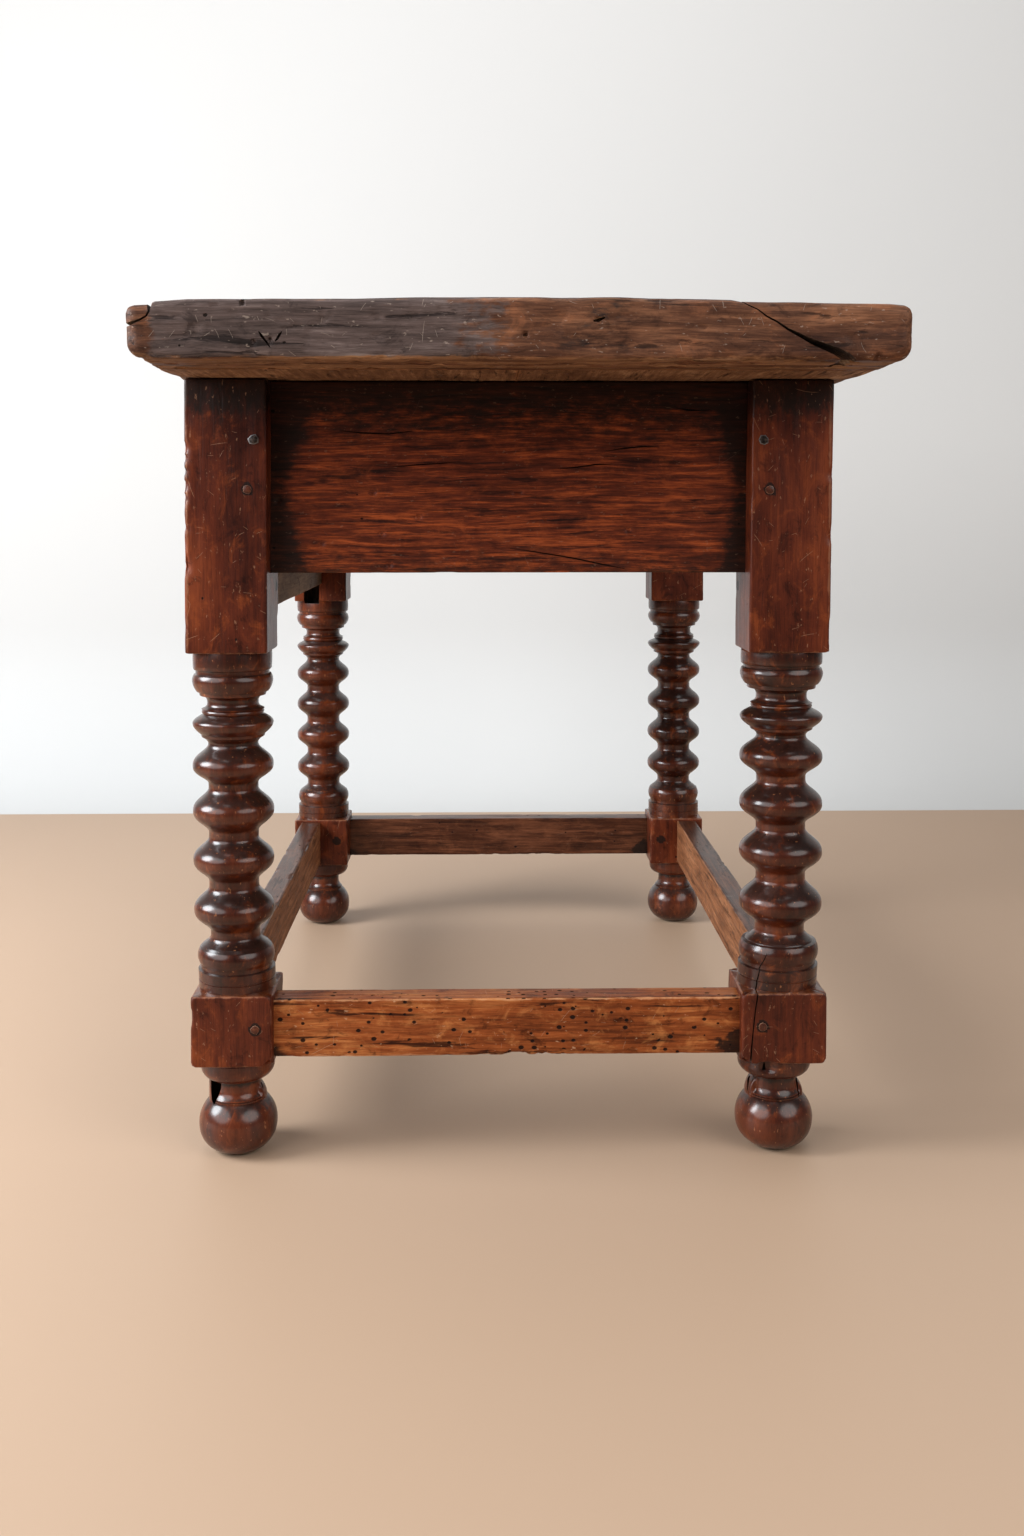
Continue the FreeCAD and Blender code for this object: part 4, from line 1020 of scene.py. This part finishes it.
def legProfile(own, blockTop, blockBottom, lowerTop, lowerBottom):
    rows = []  # (height, radius, half side or 0, name of the zone)

    def square(top, bottom, half, step):
        soft = 2 * mm
        count = max(3, round((top - bottom - 2 * soft) / step))
        for turn in np.linspace(0, math.pi / 2, 4)[:-1]:
            rows.append((top - soft * (1 - math.cos(turn)), 0, half - soft * (1 - math.sin(turn)), "block"))
        for z in np.linspace(top - soft, bottom + soft, count + 1):
            rows.append((z, 0, half, "block"))
        for turn in np.linspace(0, math.pi / 2, 4)[1:]:
            rows.append((bottom + soft * (1 - math.sin(turn)), 0, half - soft * (1 - math.cos(turn)), "block"))

    def sweep(top, bottom, form, count, zone="turned"):
        for share in np.linspace(0, 1, count):
            rows.append((top + (bottom - top) * share, form(share), 0, zone))

    big, neck, drum = own["turned"], legSpec["neck"], own["drum"]
    z = blockBottom
    square(blockTop, z, legSpec["half"] + 0.3 * mm, 4 * mm)
    sweep(z, z, lambda s: big - 1.0 * mm, 1, "collar")
    sweep(z - 0.8 * mm, z - 14 * mm, lambda s: big - 0.6 * mm - 0.3 * mm * (2 * s - 1) ** 2, 6, "collar")
    sweep(z - 15 * mm, z - 15.4 * mm, lambda s: big - 1.6 * mm - 1.4 * mm * s, 2, "collar")
    sweep(z - 16.2 * mm, z - 18.4 * mm, lambda s: big - 3.2 * mm, 3)
    z -= 19 * mm
    sweep(z, z - 16 * mm, lambda s: big - 4.8 * mm + 4.8 * mm * math.sin(math.pi * (0.2 + 0.78 * s)) ** 0.8, 14)
    z -= 16 * mm
    sweep(z, z - 4.5 * mm, lambda s: big - 6.2 * mm - 0.8 * mm * s, 4)
    z -= 5 * mm
    sweep(z - 0.2 * mm, z - 13.6 * mm, lambda s: 24.2 * mm + 4.6 * mm * abs(2 * s - 0.95) ** 3.2, 13)
    z -= 14 * mm
    sweep(z, z - 5.6 * mm, lambda s: 28.3 * mm + 1.1 * mm * math.sin(math.pi * s), 6)
    z -= 6 * mm
    sweep(z, z - 6 * mm, lambda s: 28.6 * mm + (big - 28.6 * mm) * math.sin(math.pi / 2 * s) ** 0.9, 9)
    z -= 6 * mm
    sweep(z - 0.5 * mm, z - 10 * mm, lambda s: big - (big - 31 * mm) * s ** 1.7, 10)
    z -= 10 * mm
    sweep(z - 0.3 * mm, z - 3 * mm, lambda s: 30.2 * mm - 0.6 * mm * s, 3)
    sweep(z - 3.6 * mm, z - 7.5 * mm, lambda s: 28.6 * mm - (28.6 * mm - neck) * s ** 0.6, 4)
    z -= 8 * mm
    pitch = (z - lowerTop - 52 * mm) / legSpec["beads"]
    above, below = legSpec["beadAbove"], legSpec["beadBelow"]

    def beadForm(share):
        away = share * pitch - above - 1.2 * mm
        part = min(abs(away) / (above if away < 0 else below), 1) ** legSpec["beadFullness"]
        return neck + (big - neck) * (0.5 + 0.5 * math.cos(math.pi * part))

    for bead in range(legSpec["beads"]):
        sweep(z - bead * pitch, z - (bead + 0.97) * pitch, beadForm, 31)
    z = lowerTop + 52 * mm
    sweep(z - 1 * mm, z - 9.5 * mm, lambda s: neck + 8.2 * mm * s ** 1.6, 8)
    sweep(z - 10.5 * mm, z - 10.6 * mm, lambda s: 32.2 * mm, 1)
    sweep(z - 11.5 * mm, z - 29 * mm,
          lambda s: drum - 4.2 * mm + 4.2 * mm * math.sin(math.pi * (0.1 + 0.8 * s)) ** 0.8, 13)
    sweep(z - 29.8 * mm, z - 32.4 * mm, lambda s: drum - 2.6 * mm, 3)
    sweep(z - 33.2 * mm, z - 42 * mm, lambda s: drum, 4, "drum")
    sweep(z - 42.5 * mm, z - 43.3 * mm, lambda s: drum - 0.6 * mm, 2, "drum")
    sweep(z - 43.8 * mm, lowerTop + 0.2 * mm, lambda s: drum + 0.1 * mm, 4, "drum")
    square(lowerTop, lowerBottom, own["lowerHalf"], 3 * mm)
    z = lowerBottom
    sweep(z, z, lambda s: 34.4 * mm, 1, "foot")
    sweep(z - 0.6 * mm, z - 9.2 * mm, lambda s: 34.9 * mm, 5, "foot")
    sweep(z - 9.6 * mm, z - 20.6 * mm,
          lambda s: 21.8 * mm + 13.1 * mm * math.sqrt(max(0, 1 - s ** 2)), 16, "foot")
    sweep(z - 21 * mm, z - 30 * mm, lambda s: 21.4 * mm, 6, "foot")
    sweep(z - 30.4 * mm, z - 38 * mm, lambda s: 21.5 * mm + 4.1 * mm * s ** 1.8, 10, "foot")
    sweep(z - 38.4 * mm, z - 38.9 * mm, lambda s: 25.0 * mm, 2, "foot")
    sweep(z - 39.2 * mm, z - 39.8 * mm, lambda s: 26.4 * mm, 2, "foot")
    sweep(z - 40.1 * mm, z - 40.5 * mm, lambda s: 26.0 * mm, 2, "foot")
    middle, bun, upper, lower = 27.5 * mm, 37.1 * mm, 32.9 * mm, 29.5 * mm
    for turn in np.linspace(0.753, 0, 18):
        rows.append((middle + upper * math.sin(turn), bun * math.cos(turn), 0, "bun"))
    for turn in np.linspace(0.07, 1.174, 20):  # a fuller curve down to the flat on the floor
        rows.append((middle - lower * math.sin(turn) ** 0.87, bun * math.cos(turn) ** 0.87, 0, "bun"))
    return rows


def nearestArris(p, low, high):  # distance to the closest upright corner of a square post
    gaps = [np.abs(p[:, 0] - x) + np.abs(p[:, 1] - y) for x in (low.x, high.x) for y in (low.y, high.y)]
    return np.min(gaps, axis=0)


def makeLeg(key, cuts=(), dents=()):
    own = legOwn[key]
    node, seed = "leg_" + key, own["seed"]
    low, high = legBox[key]
    middle = (low + high) / 2
    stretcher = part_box("side_stretcher_front")
    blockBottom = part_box("drawer_rail_lower")[0].z - legSpec["blockBelowRail"]
    lowerMiddle = (stretcher[0].z + stretcher[1].z) / 2
    lowerTop, lowerBottom = lowerMiddle + legSpec["lowerHalfHeight"], lowerMiddle - legSpec["lowerHalfHeight"]
    rows = legProfile(own, high.z, blockBottom, lowerTop, lowerBottom)
    drawn = [lowerTop, *(h * mm for h in drawnHeights[::-1]), blockBottom]
    moved = [lowerTop, *(h * mm for h in own["heights"][::-1]), blockBottom]
    rows = [(np.interp(z, drawn, moved) if lowerTop < z < blockBottom else z, *rest) for z, *rest in rows]
    heights = np.array([row[0] for row in rows])
    radii = np.array([r if not h else h for z, r, h, zone in rows])
    side = spaced(-legSpec["half"], legSpec["half"], own["step"], 5 * mm)[:-1]
    angles = np.concatenate([np.arctan2(side, legSpec["half"]) + turn * math.pi / 2 for turn in range(4)])
    count = len(angles)
    driftAt, drift = zip(*own["drift"])
    points, zones, crest = [], [], []
    for row, (z, radius, square, zone) in enumerate(rows):
        ring = roundedSquare(square, legSpec["corner"], angles) if square else np.full(count, radius)
        if not square:  # never quite round or even
            at = np.stack([np.cos(angles) * 1.2, np.sin(angles) * 1.2, np.full(count, z / (24 * mm))], 1)
            ring = ring * (1 + legSpec["unevenness"] * smoothNoise(at + seed * 3.7, seed))
        for turn, spread, wall, bottom, top, taper in own["cup"]:
            if zone == "foot" and bottom < z < top:
                off = np.abs((angles - turn + math.pi) % (2 * math.pi) - math.pi)
                wall = wall - taper * ((z - bottom) / (top - bottom)) ** 2
                ring = np.maximum(ring, ring + (wall - ring) * ease(spread, spread - 0.12, off))
        x = middle.x + np.interp(z / mm, driftAt, drift) * mm
        places = [x + ring * np.cos(angles), middle.y + ring * np.sin(angles), np.full(count, z)]
        points.append(np.stack(places, 1))
        around = np.abs(heights - z) < legSpec["crestReach"]
        crest.append(np.full(count, radii[row] - radii[around].mean()))
        zones += [zone] * count
    top = len(points) * count
    points = np.concatenate([*points, [[middle.x, middle.y, rows[0][0]], [middle.x, middle.y, rows[-1][0]]]])
    crest = np.concatenate([*crest, [0, 0]])
    block = np.array([zone == "block" for zone in zones] + [True, False])
    ring = np.arange(count)
    after = (ring + 1) % count
    strip = np.stack([ring, count + ring, count + after, after], 1)
    quads = np.concatenate([strip + r * count for r in range(len(rows) - 1)])
    facing = normalsOf(points, quads)
    wave = layeredNoise(points * (1, 1, 0.2) / legSpec["hewnPitch"], 3, seed)
    hewn = legSpec["hewn"] * np.clip(0.5 + 0.5 * wave, 0, 1)
    bite = ease(0.25, 0.9, layeredNoise(points * (1, 1, 0.5) / legSpec["bitePitch"], 3, seed + 9))
    chipped = legSpec["bite"] * np.exp(-nearestArris(points, low, high) / legSpec["biteReach"]) * bite
    depth = np.where(block, hewn + chipped, hewn * 0.2)
    for place, size, deep in dents:
        away = np.linalg.norm((points - np.array(place)) / np.array(size), axis=1)
        depth += deep * ease(1.0, 0.3, away)
    points[:top] -= (facing * depth[:, None])[:top]
    points[:, 2] = np.maximum(points[:, 2], 0)
    last = len(rows) - 1
    faces = quads.tolist()
    faces += [[top, int(i), int(j)] for i, j in zip(ring, after)]
    faces += [[top + 1, int(last * count + j), int(last * count + i)] for i, j in zip(ring, after)]
    piece = newPiece(node, points, faces)
    mesh = piece.data
    mesh.materials.append(turnedWood)
    mesh.materials.append(blockWood)
    blockFace = np.concatenate([block[quads].sum(1) >= 3, np.ones(count, bool), np.zeros(count, bool)])
    mesh.polygons.foreach_set("material_index", blockFace.astype(np.int32))
    crestOf = {tuple(np.round(p, 6)): c for p, c in zip(points, crest)}
    cutAway(piece, cuts)

    def looks(p, n):
        inLower = np.abs(p[:, 2] - lowerMiddle) < lowerTop - lowerMiddle + 0.5 * mm
        inBlock = (p[:, 2] > blockBottom - 0.5 * mm) | inLower
        rise = np.array([crestOf.get(tuple(np.round(q, 6)), 0) for q in p])
        ends = np.min([np.abs(p[:, 2] - z) for z in (blockBottom, lowerTop, lowerBottom)], axis=0)
        arris = np.exp(-np.minimum(nearestArris(p, low, high), ends) / (3.5 * mm))
        edge = np.where(inBlock, arris, np.clip(rise / (5 * mm), 0, 1) * 0.75)
        # painted shade on the upper block under the top, and painted shade in the grooves of the turning
        under = ease(high.z - 75 * mm, high.z - 10 * mm, p[:, 2]) * 0.55
        grooves = np.where(inBlock, 0, np.clip(-rise / (4 * mm), 0, 1) * 0.5)
        collar = 0.3 * ((p[:, 2] < blockBottom - 0.5 * mm) & (p[:, 2] > blockBottom - 15.5 * mm))
        soil = np.maximum(np.maximum(under, grooves), collar)
        for place, axis, size in pegPlaces:
            flat = [i for i in range(3) if i != axis]
            away = np.linalg.norm((p - place)[:, flat], axis=1)
            around = ease(size + 2.6 * mm, size + 0.8 * mm, away) * (np.abs(n[:, axis]) > 0.5)
            soil = np.maximum(soil, 0.9 * around)
        dusty = np.where(inBlock, 0, 0.6 * ease(0.15, 0.75, n[:, 2]))  # dull where dust settles
        return {"edge": edge, "soil": soil, "grey": dusty}

    return dress(piece, turnedWood, "table", node, "z", seed, looks, sharp=42)


def openMortise():  # the old mortise under the rail, in the far front leg, broken out below
    low = legBox["front_far"][0]
    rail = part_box("drawer_rail_lower")
    x, z = (rail[0].x + rail[1].x) / 2, rail[0].z
    outline = ((-11, -28), (11, -28.5), (11.5, 2), (-11, 2))
    return prism([(x + a * mm, low.y - 3 * mm, z + b * mm) for a, b in outline], (0, 36 * mm, 0), splitWood)


def sightCut(key, shift, outline, lean, ahead, behind):  # pocket in a foot, cut along a slanting line
    low, high = legBox[key]
    x, y = (low.x + high.x) / 2 + shift * mm, (low.y + high.y) / 2
    start = [(x + a - lean[0] * ahead * mm, y - ahead * mm, b - lean[1] * ahead * mm) for a, b in outline]
    deep = (ahead + behind) * mm
    return prism(start, (lean[0] * deep, deep, lean[1] * deep), splitWood)


def frontFootCuts():  # the broken cup beside the neck, and a crack on its other side
    lean = (-0.169, -0.4)
    pocket = np.array([(-25.9, 64.8), (-16.1, 61.3), (-16.3, 56.9), (-18.1, 51.6), (-20.7, 46.1), (-23.1, 40.5),
                       (-25.1, 45.2), (-25.9, 53.4)]) * mm
    crack = ribbon([(21.9, 62.4, 0.8), (22.5, 60.0, 1.1), (23.6, 56.0, 0.6)])
    return [sightCut("front_near", 0.4, pocket, lean, 32, 4), sightCut("front_near", 0.4, crack, lean, 15, 3)]


def backFootCuts():  # cracks beside the ears of the cup, and a chip out of the collar
    lean = (0.205, -0.4)
    lines = ([(-22.8, 65.0, 1.0), (-24.2, 62.0, 2.0), (-24.6, 56.0, 1.3), (-25.0, 50.5, 0.6)],
             [(22.0, 62.5, 1.4), (22.6, 58.0, 1.6), (23.6, 51.0, 1.1), (24.7, 43.5, 0.6)])
    cuts = [sightCut("back_near", -4, ribbon(line), lean, 30, 6) for line in lines]
    chip = np.array([(-11.2, 69.5), (-7.4, 70.2), (-8.2, 77.6), (-9.6, 77.2)]) * mm
    return cuts + [sightCut("back_near", -4, chip, lean, 40, -24)]


def blockCrack():  # a drying crack down the near back leg's drum and lower block
    low, high = legBox["back_near"]
    x = (low.x + high.x) / 2
    steps = ((-17.5, 194, 0.5), (-19.5, 189, 0.9), (-23.5, 178, 1.0), (-26, 166, 1.1), (-27, 158, 1.2),
             (-29.5, 142, 1.2), (-31.5, 122, 1.1), (-33, 104, 1.4), (-33.8, 90, 1.8), (-34.2, 80, 0.6))
    outline = [(a - w / 2, z) for a, z, w in steps] + [(a + w / 2, z) for a, z, w in steps[::-1]]
    return prism([(x + a * mm, low.y - 6 * mm, z * mm) for a, z in outline], (0, 25 * mm, 0), splitWood)


def edgeChips():  # knocks down the near front leg's outer arris, (height, length, depth)
    low = legBox["front_near"][0]
    chips = ((668, 6, 3.0), (659, 4, 2.4), (648, 3, 1.8), (634, 5, 3.0), (622, 4, 2.2), (596, 3, 1.4),
             (560, 3, 1.2))
    x, y = low.x - 2 * mm, low.y
    return [((x, y, z * mm), (6 * mm, 7 * mm, size * mm), deep * mm) for z, size, deep in chips]


def roundedCorners(key, corners):  # worn corners of a lower block, (across, height, size, depth)
    low, high = legBox[key]
    x = (low.x + high.x) / 2
    return [((x + a * mm, low.y, z * mm), (size * mm,) * 3, deep * mm) for a, z, size, deep in corners]


frontCorners = ((-38, 91, 5, 1.5), (38, 91, 11, 4), (38, 158, 4, 1), (-38, 158, 4, 0.8))
backCorners = ((-41, 91, 11, 4), (38, 91, 5, 1.5), (38, 158, 4, 1), (-41, 158, 5, 1.5), (-17, 85, 13, 4.5))
makeLeg("front_near", frontFootCuts(), edgeChips() + roundedCorners("front_near", frontCorners))
makeLeg("back_near", [blockCrack(), *backFootCuts()], roundedCorners("back_near", backCorners))
makeLeg("front_far", [openMortise()])
makeLeg("back_far")
print("legs ready")


# Pegs with rough domed ends, and forged nails
def lathePiece(rings, middle, along, sides, jitter, seed):  # rings are (distance along, radius)
    along = np.array(along, float)
    first = np.cross(along, (0.3, 0.5, 0.81))
    first /= np.linalg.norm(first)
    second = np.cross(along, first)
    turn = 2 * math.pi * (np.arange(sides) + 0.25) / sides
    uneven = 1 + jitter * (2 * lattice(np.stack([np.arange(sides)] * 3, 1) + int(seed * 13), seed) - 1)
    around = np.outer(np.cos(turn), first) + np.outer(np.sin(turn), second)
    points = [np.array(middle)[None] + along * d + around * (r * uneven)[:, None] for d, r in rings]
    ring = [(i, (i + 1) % sides, (i + 1) % sides + sides, i + sides) for i in range(sides)]
    faces = [[r * sides + corner for corner in face] for r in range(len(rings) - 1) for face in ring]
    faces.append(list(range(sides))[::-1])
    faces.append([(len(rings) - 1) * sides + i for i in range(sides)])
    return np.concatenate(points), faces


def blockSwell(place, axis):  # how far a worn lower block stands out beyond its drawn face
    for key, (low, high) in legBox.items():
        inside = all(low[i] < place[i] < high[i] for i in range(2) if i != axis)
        if inside and place[2] < 0.2 and (place[axis] < 0) == (low[axis] < 0):
            return legOwn[key]["lowerHalf"] - legSpec["half"]
    return 0


def makeFasteners(node, finish, proud, headRings, sides, jitter, seed):
    points, faces, heads = [], [], []
    middleOf = np.array([(cadLow.x + cadHigh.x) / 2, (cadLow.y + cadHigh.y) / 2, 0])
    for number, (low, high) in enumerate(looseParts(node)):
        size = high - low
        axis = int(np.argmax(size))
        radius = sorted(size)[1] / 2
        middle = (low + high) / 2
        outwards = np.zeros(3)
        outwards[axis] = 1 if axis == 2 or middle[axis] > middleOf[axis] else -1
        head = middle + outwards * (size[axis] / 2 + blockSwell(middle, axis))
        rings = [(-size[axis], radius * 0.8)] + [(d * mm + proud, r * radius) for d, r in headRings]
        made, madeFaces = lathePiece(rings, head, outwards, sides, jitter, seed + number)
        faces += [[i + sum(len(p) for p in points) for i in f] for f in madeFaces]
        heads += [0.0] * sides + [r for d, r in headRings for i in range(sides)]
        points.append(made)
    piece = newPiece(node, np.concatenate(points), faces)
    edge = np.where(np.array(heads) > 0.93, 0.9, 0.2)
    return dress(piece, finish, "table", node, "y", seed, lambda p, n: {"edge": edge}, sharp=50)


pegHead = [(-1.2, 0.97), (-0.4, 1.0), (0.0, 0.96), (0.1, 0.86), (0.35, 0.6), (0.45, 0.3)]
flushHead = [(-1.2, 0.98), (-0.6, 0.99), (-0.3, 0.9), (-0.25, 0.4)]
nailHead = [(-2.6, 0.4), (-2.5, 1.0), (-1.8, 0.96), (-0.7, 0.55), (-0.2, 0.2)]
for number, node in enumerate(("apron_pegs", "rail_pegs", "stretcher_pegs")):
    makeFasteners(node, pegWood, 0.5 * mm, pegHead, 9, 0.09, 61 + 10 * number)
for number, node in enumerate(("cleat_pegs", "top_pegs", "board_dowels")):
    makeFasteners(node, pegWood, -0.2 * mm, flushHead, 8, 0.06, 91 + 10 * number)
makeFasteners("apron_nails", ironNail, 0.0, nailHead, 7, 0.12, 121)
print("pegs and nails ready")


# Drawers: fronts and dovetailed sides keep the frame's own shape with softened edges
def softened(node, finish, body, grain, seed, raw=None, width=0.8 * mm):
    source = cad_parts[node].data
    work = bmesh.new()
    work.from_mesh(source)
    bmesh.ops.remove_doubles(work, verts=work.verts, dist=1e-6)
    bmesh.ops.dissolve_limit(work, angle_limit=math.radians(1), verts=work.verts, edges=work.edges)
    sharp = [e for e in work.edges if e.is_manifold and e.calc_face_angle(0) > 0.9
             and e.calc_length() > 20 * mm]
    bmesh.ops.bevel(work, geom=sharp, offset=width, segments=2, affect="EDGES", clamp_overlap=True, profile=0.6)
    low, high = (np.array(v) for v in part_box(node))
    for axis, along in enumerate(np.eye(3)):  # a grid over the flat faces, so the wear keeps to the edges
        if high[axis] - low[axis] > 40 * mm:
            for place in spaced(low[axis], high[axis], 9 * mm, 8 * mm, 3)[1:-1]:
                cut = [*work.verts, *work.edges, *work.faces]
                bmesh.ops.bisect_plane(work, geom=cut, plane_co=along * place, plane_no=along, dist=1e-6)
    bmesh.ops.triangulate(work, faces=[f for f in work.faces if len(f.verts) > 4])
    mesh = bpy.data.meshes.new(node + "_worn")
    work.to_mesh(mesh)
    work.free()
    piece = newObject(node + "_worn", mesh)

    def looks(p, n):
        found = {"edge": np.exp(-edgeDistance(p, low, high) / (3 * mm))}
        if raw:
            found["raw"] = raw(p, n)
        return found

    return dress(piece, finish, body, node, grain, seed, looks, sharp=30)


def makeKnob(node, body, seed):
    low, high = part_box(node)
    middle = (low + high) / 2
    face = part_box(node.replace("knob", "front"))[0].x
    reach = face - low.x
    big = (high.y - low.y) / 2
    rings = [(-18 * mm, 5.8 * mm), (-0.2 * mm, 5.8 * mm), (0, big * 0.84)]
    rings += [(3 * mm * s, big * (0.86 - 0.06 * s * s)) for s in np.linspace(0.1, 1, 5)]
    for s in np.linspace(0, 1, 9):
        rings.append((3 * mm + 6 * mm * s, 7.3 * mm + 3.4 * mm * abs(2 * s - 0.9) ** 2.4))
    dome = reach - 9 * mm
    for t in np.linspace(0.15, math.pi / 2, 8):
        rings.append((9 * mm + dome * (0.42 - 0.42 * math.cos(t)), big * (0.66 + 0.34 * math.sin(t))))
    for t in np.linspace(0.1, math.pi / 2, 14):
        rings.append((9 * mm + dome * (0.42 + 0.58 * math.sin(t)), big * (0.02 + 0.98 * math.cos(t))))
    points, faces = lathePiece(rings, (face, middle.y, middle.z), (-1, 0, 0), 48, 0.006, seed)
    piece = newPiece(node, points, faces)

    def looks(p, n):
        return {"edge": 0.5 * ease(face - 12 * mm, low.x, p[:, 0])}

    return dress(piece, turnedWood, body, node, "x", seed, looks, sharp=40)


def rawBehind(p, n):
    return np.where(n[:, 0] > -0.5, 0.85, 0)


def makeDrawers():
    for end, seed in (("near", 131), ("far", 151)):
        body = "drawer_" + end
        softened(body + "_front", blockWood, body, "y", seed, rawBehind, 1.4 * mm)
        softened(body + "_side_inner", rawWood, body, "x", seed + 1)
        softened(body + "_side_outer", rawWood, body, "x", seed + 2)
        for part in ("back", "bottom"):
            node = body + "_" + part
            seed += 3
            timber(node, *span(node), rawWood, {
                "grain": "y", "seed": seed, "step": 7 * mm, "radius": 0.9 * mm, "rim": 2.5 * mm, "hewn": 0.15 * mm,
            }, body)
        makeKnob(body + "_knob", body, seed + 4)


makeDrawers()
print("drawers ready")


# Plain pale floor and backdrop, soft studio light
stageSpec = {
    "floorTone": (0.41, 0.282, 0.193, 1), "floorRough": 0.55, "wallTone": (0.56, 0.56, 0.555, 1), "wallRough": 0.8,
    "wallAt": 1.5, "reach": 7.0, "bend": 0.35, "gap": 0.3 * mm,
}


def stageFinish(part):
    made, tree, shader = newFinish("pale" + part.title())
    shader["Base Color"].default_value = stageSpec[part + "Tone"]
    shader["Roughness"].default_value = stageSpec[part + "Rough"]
    behind = addNode(tree, "ShaderNodeNewGeometry").outputs["Backfacing"]
    feed(shader, {"Alpha": calc("SUBTRACT", 1.0, behind)})  # open to a view from behind or below
    return made


def makeStage():
    reach, wall, bend = stageSpec["reach"], stageSpec["wallAt"], stageSpec["bend"]
    line = [(-reach, 0.0), (wall - bend, 0.0)]
    for t in np.linspace(0.1, math.pi / 2, 12):
        line.append((wall - bend + bend * math.sin(t), bend - bend * math.cos(t)))
    line.append((wall, reach))
    points = np.array([(x, y, z - stageSpec["gap"]) for x in (-reach, reach) for y, z in line])
    count = len(line)
    faces = [[i, i + count, i + count + 1, i + 1] for i in range(count - 1)]
    mesh = newMesh("stage", points, faces)
    for part in ("floor", "wall"):
        mesh.materials.append(stageFinish(part))
    for face in mesh.polygons:
        face.material_index = 1 if face.index > 0 else 0
    mesh.shade_smooth()
    newObject("stage", mesh)


def addLamp(name, place, aim, size, power, tone):
    data = bpy.data.lights.new(name, "AREA")
    data.shape = "ELLIPSE"
    data.size, data.size_y = size
    data.energy = power
    data.color = tone
    lamp = newObject(name, data)
    lamp.location = place
    lamp.rotation_euler = (Vector(aim) - Vector(place)).to_track_quat("-Z", "Y").to_euler()
    return lamp


makeStage()
lampAim = (0, -0.2, 0.45)
addLamp("highWindow", (-2.15, -0.6, 1.35), lampAim, (1.2, 1.3), 90, (0.9, 0.955, 1.0))
addLamp("leftFill", (-2.5, -2.1, 1.8), lampAim, (3.6, 2.6), 86, (0.98, 0.99, 1.0))
addLamp("rightFill", (2.4, -2.6, 2.2), lampAim, (3.6, 2.6), 80, (1.0, 0.985, 0.96))
addLamp("overhead", (0, -0.2, 3.1), (0, 0, 0), (2.6, 2.6), 38, (1.0, 1.0, 1.0))

world = bpy.data.worlds.new("softRoom")
world.use_nodes = True
bpy.context.scene.world = world
room = world.node_tree.nodes["Background"].inputs
room["Color"].default_value = (1, 1, 1, 1)
seen = addNode(world.node_tree, "ShaderNodeLightPath").outputs["Is Camera Ray"]
feed(room, {"Strength": calc("MAXIMUM", times(seen, 0.8), 0.12)})  # pale where a view looks past the stage

# The camera stands level with the apron, a little left of the middle
cameraSpec = {"place": (-0.033, -1.765, 0.6127), "pitch": 0.0305, "yaw": 0.0214, "focalPixels": 1450,
              "axisRow": 553.1, "frameHeight": 1536, "sensor": 36.0}
cameraData = bpy.data.cameras.new("camera")
cameraData.sensor_width = cameraSpec["sensor"]
cameraData.lens = cameraSpec["focalPixels"] * cameraSpec["sensor"] / cameraSpec["frameHeight"]
cameraData.shift_y = (cameraSpec["axisRow"] - cameraSpec["frameHeight"] / 2) / cameraSpec["frameHeight"]
camera = newObject("camera", cameraData)
camera.location = cameraSpec["place"]
camera.rotation_euler = (math.pi / 2 - cameraSpec["pitch"], 0, -cameraSpec["yaw"])
bpy.context.scene.camera = camera
bpy.context.scene.view_settings.view_transform = "Standard"
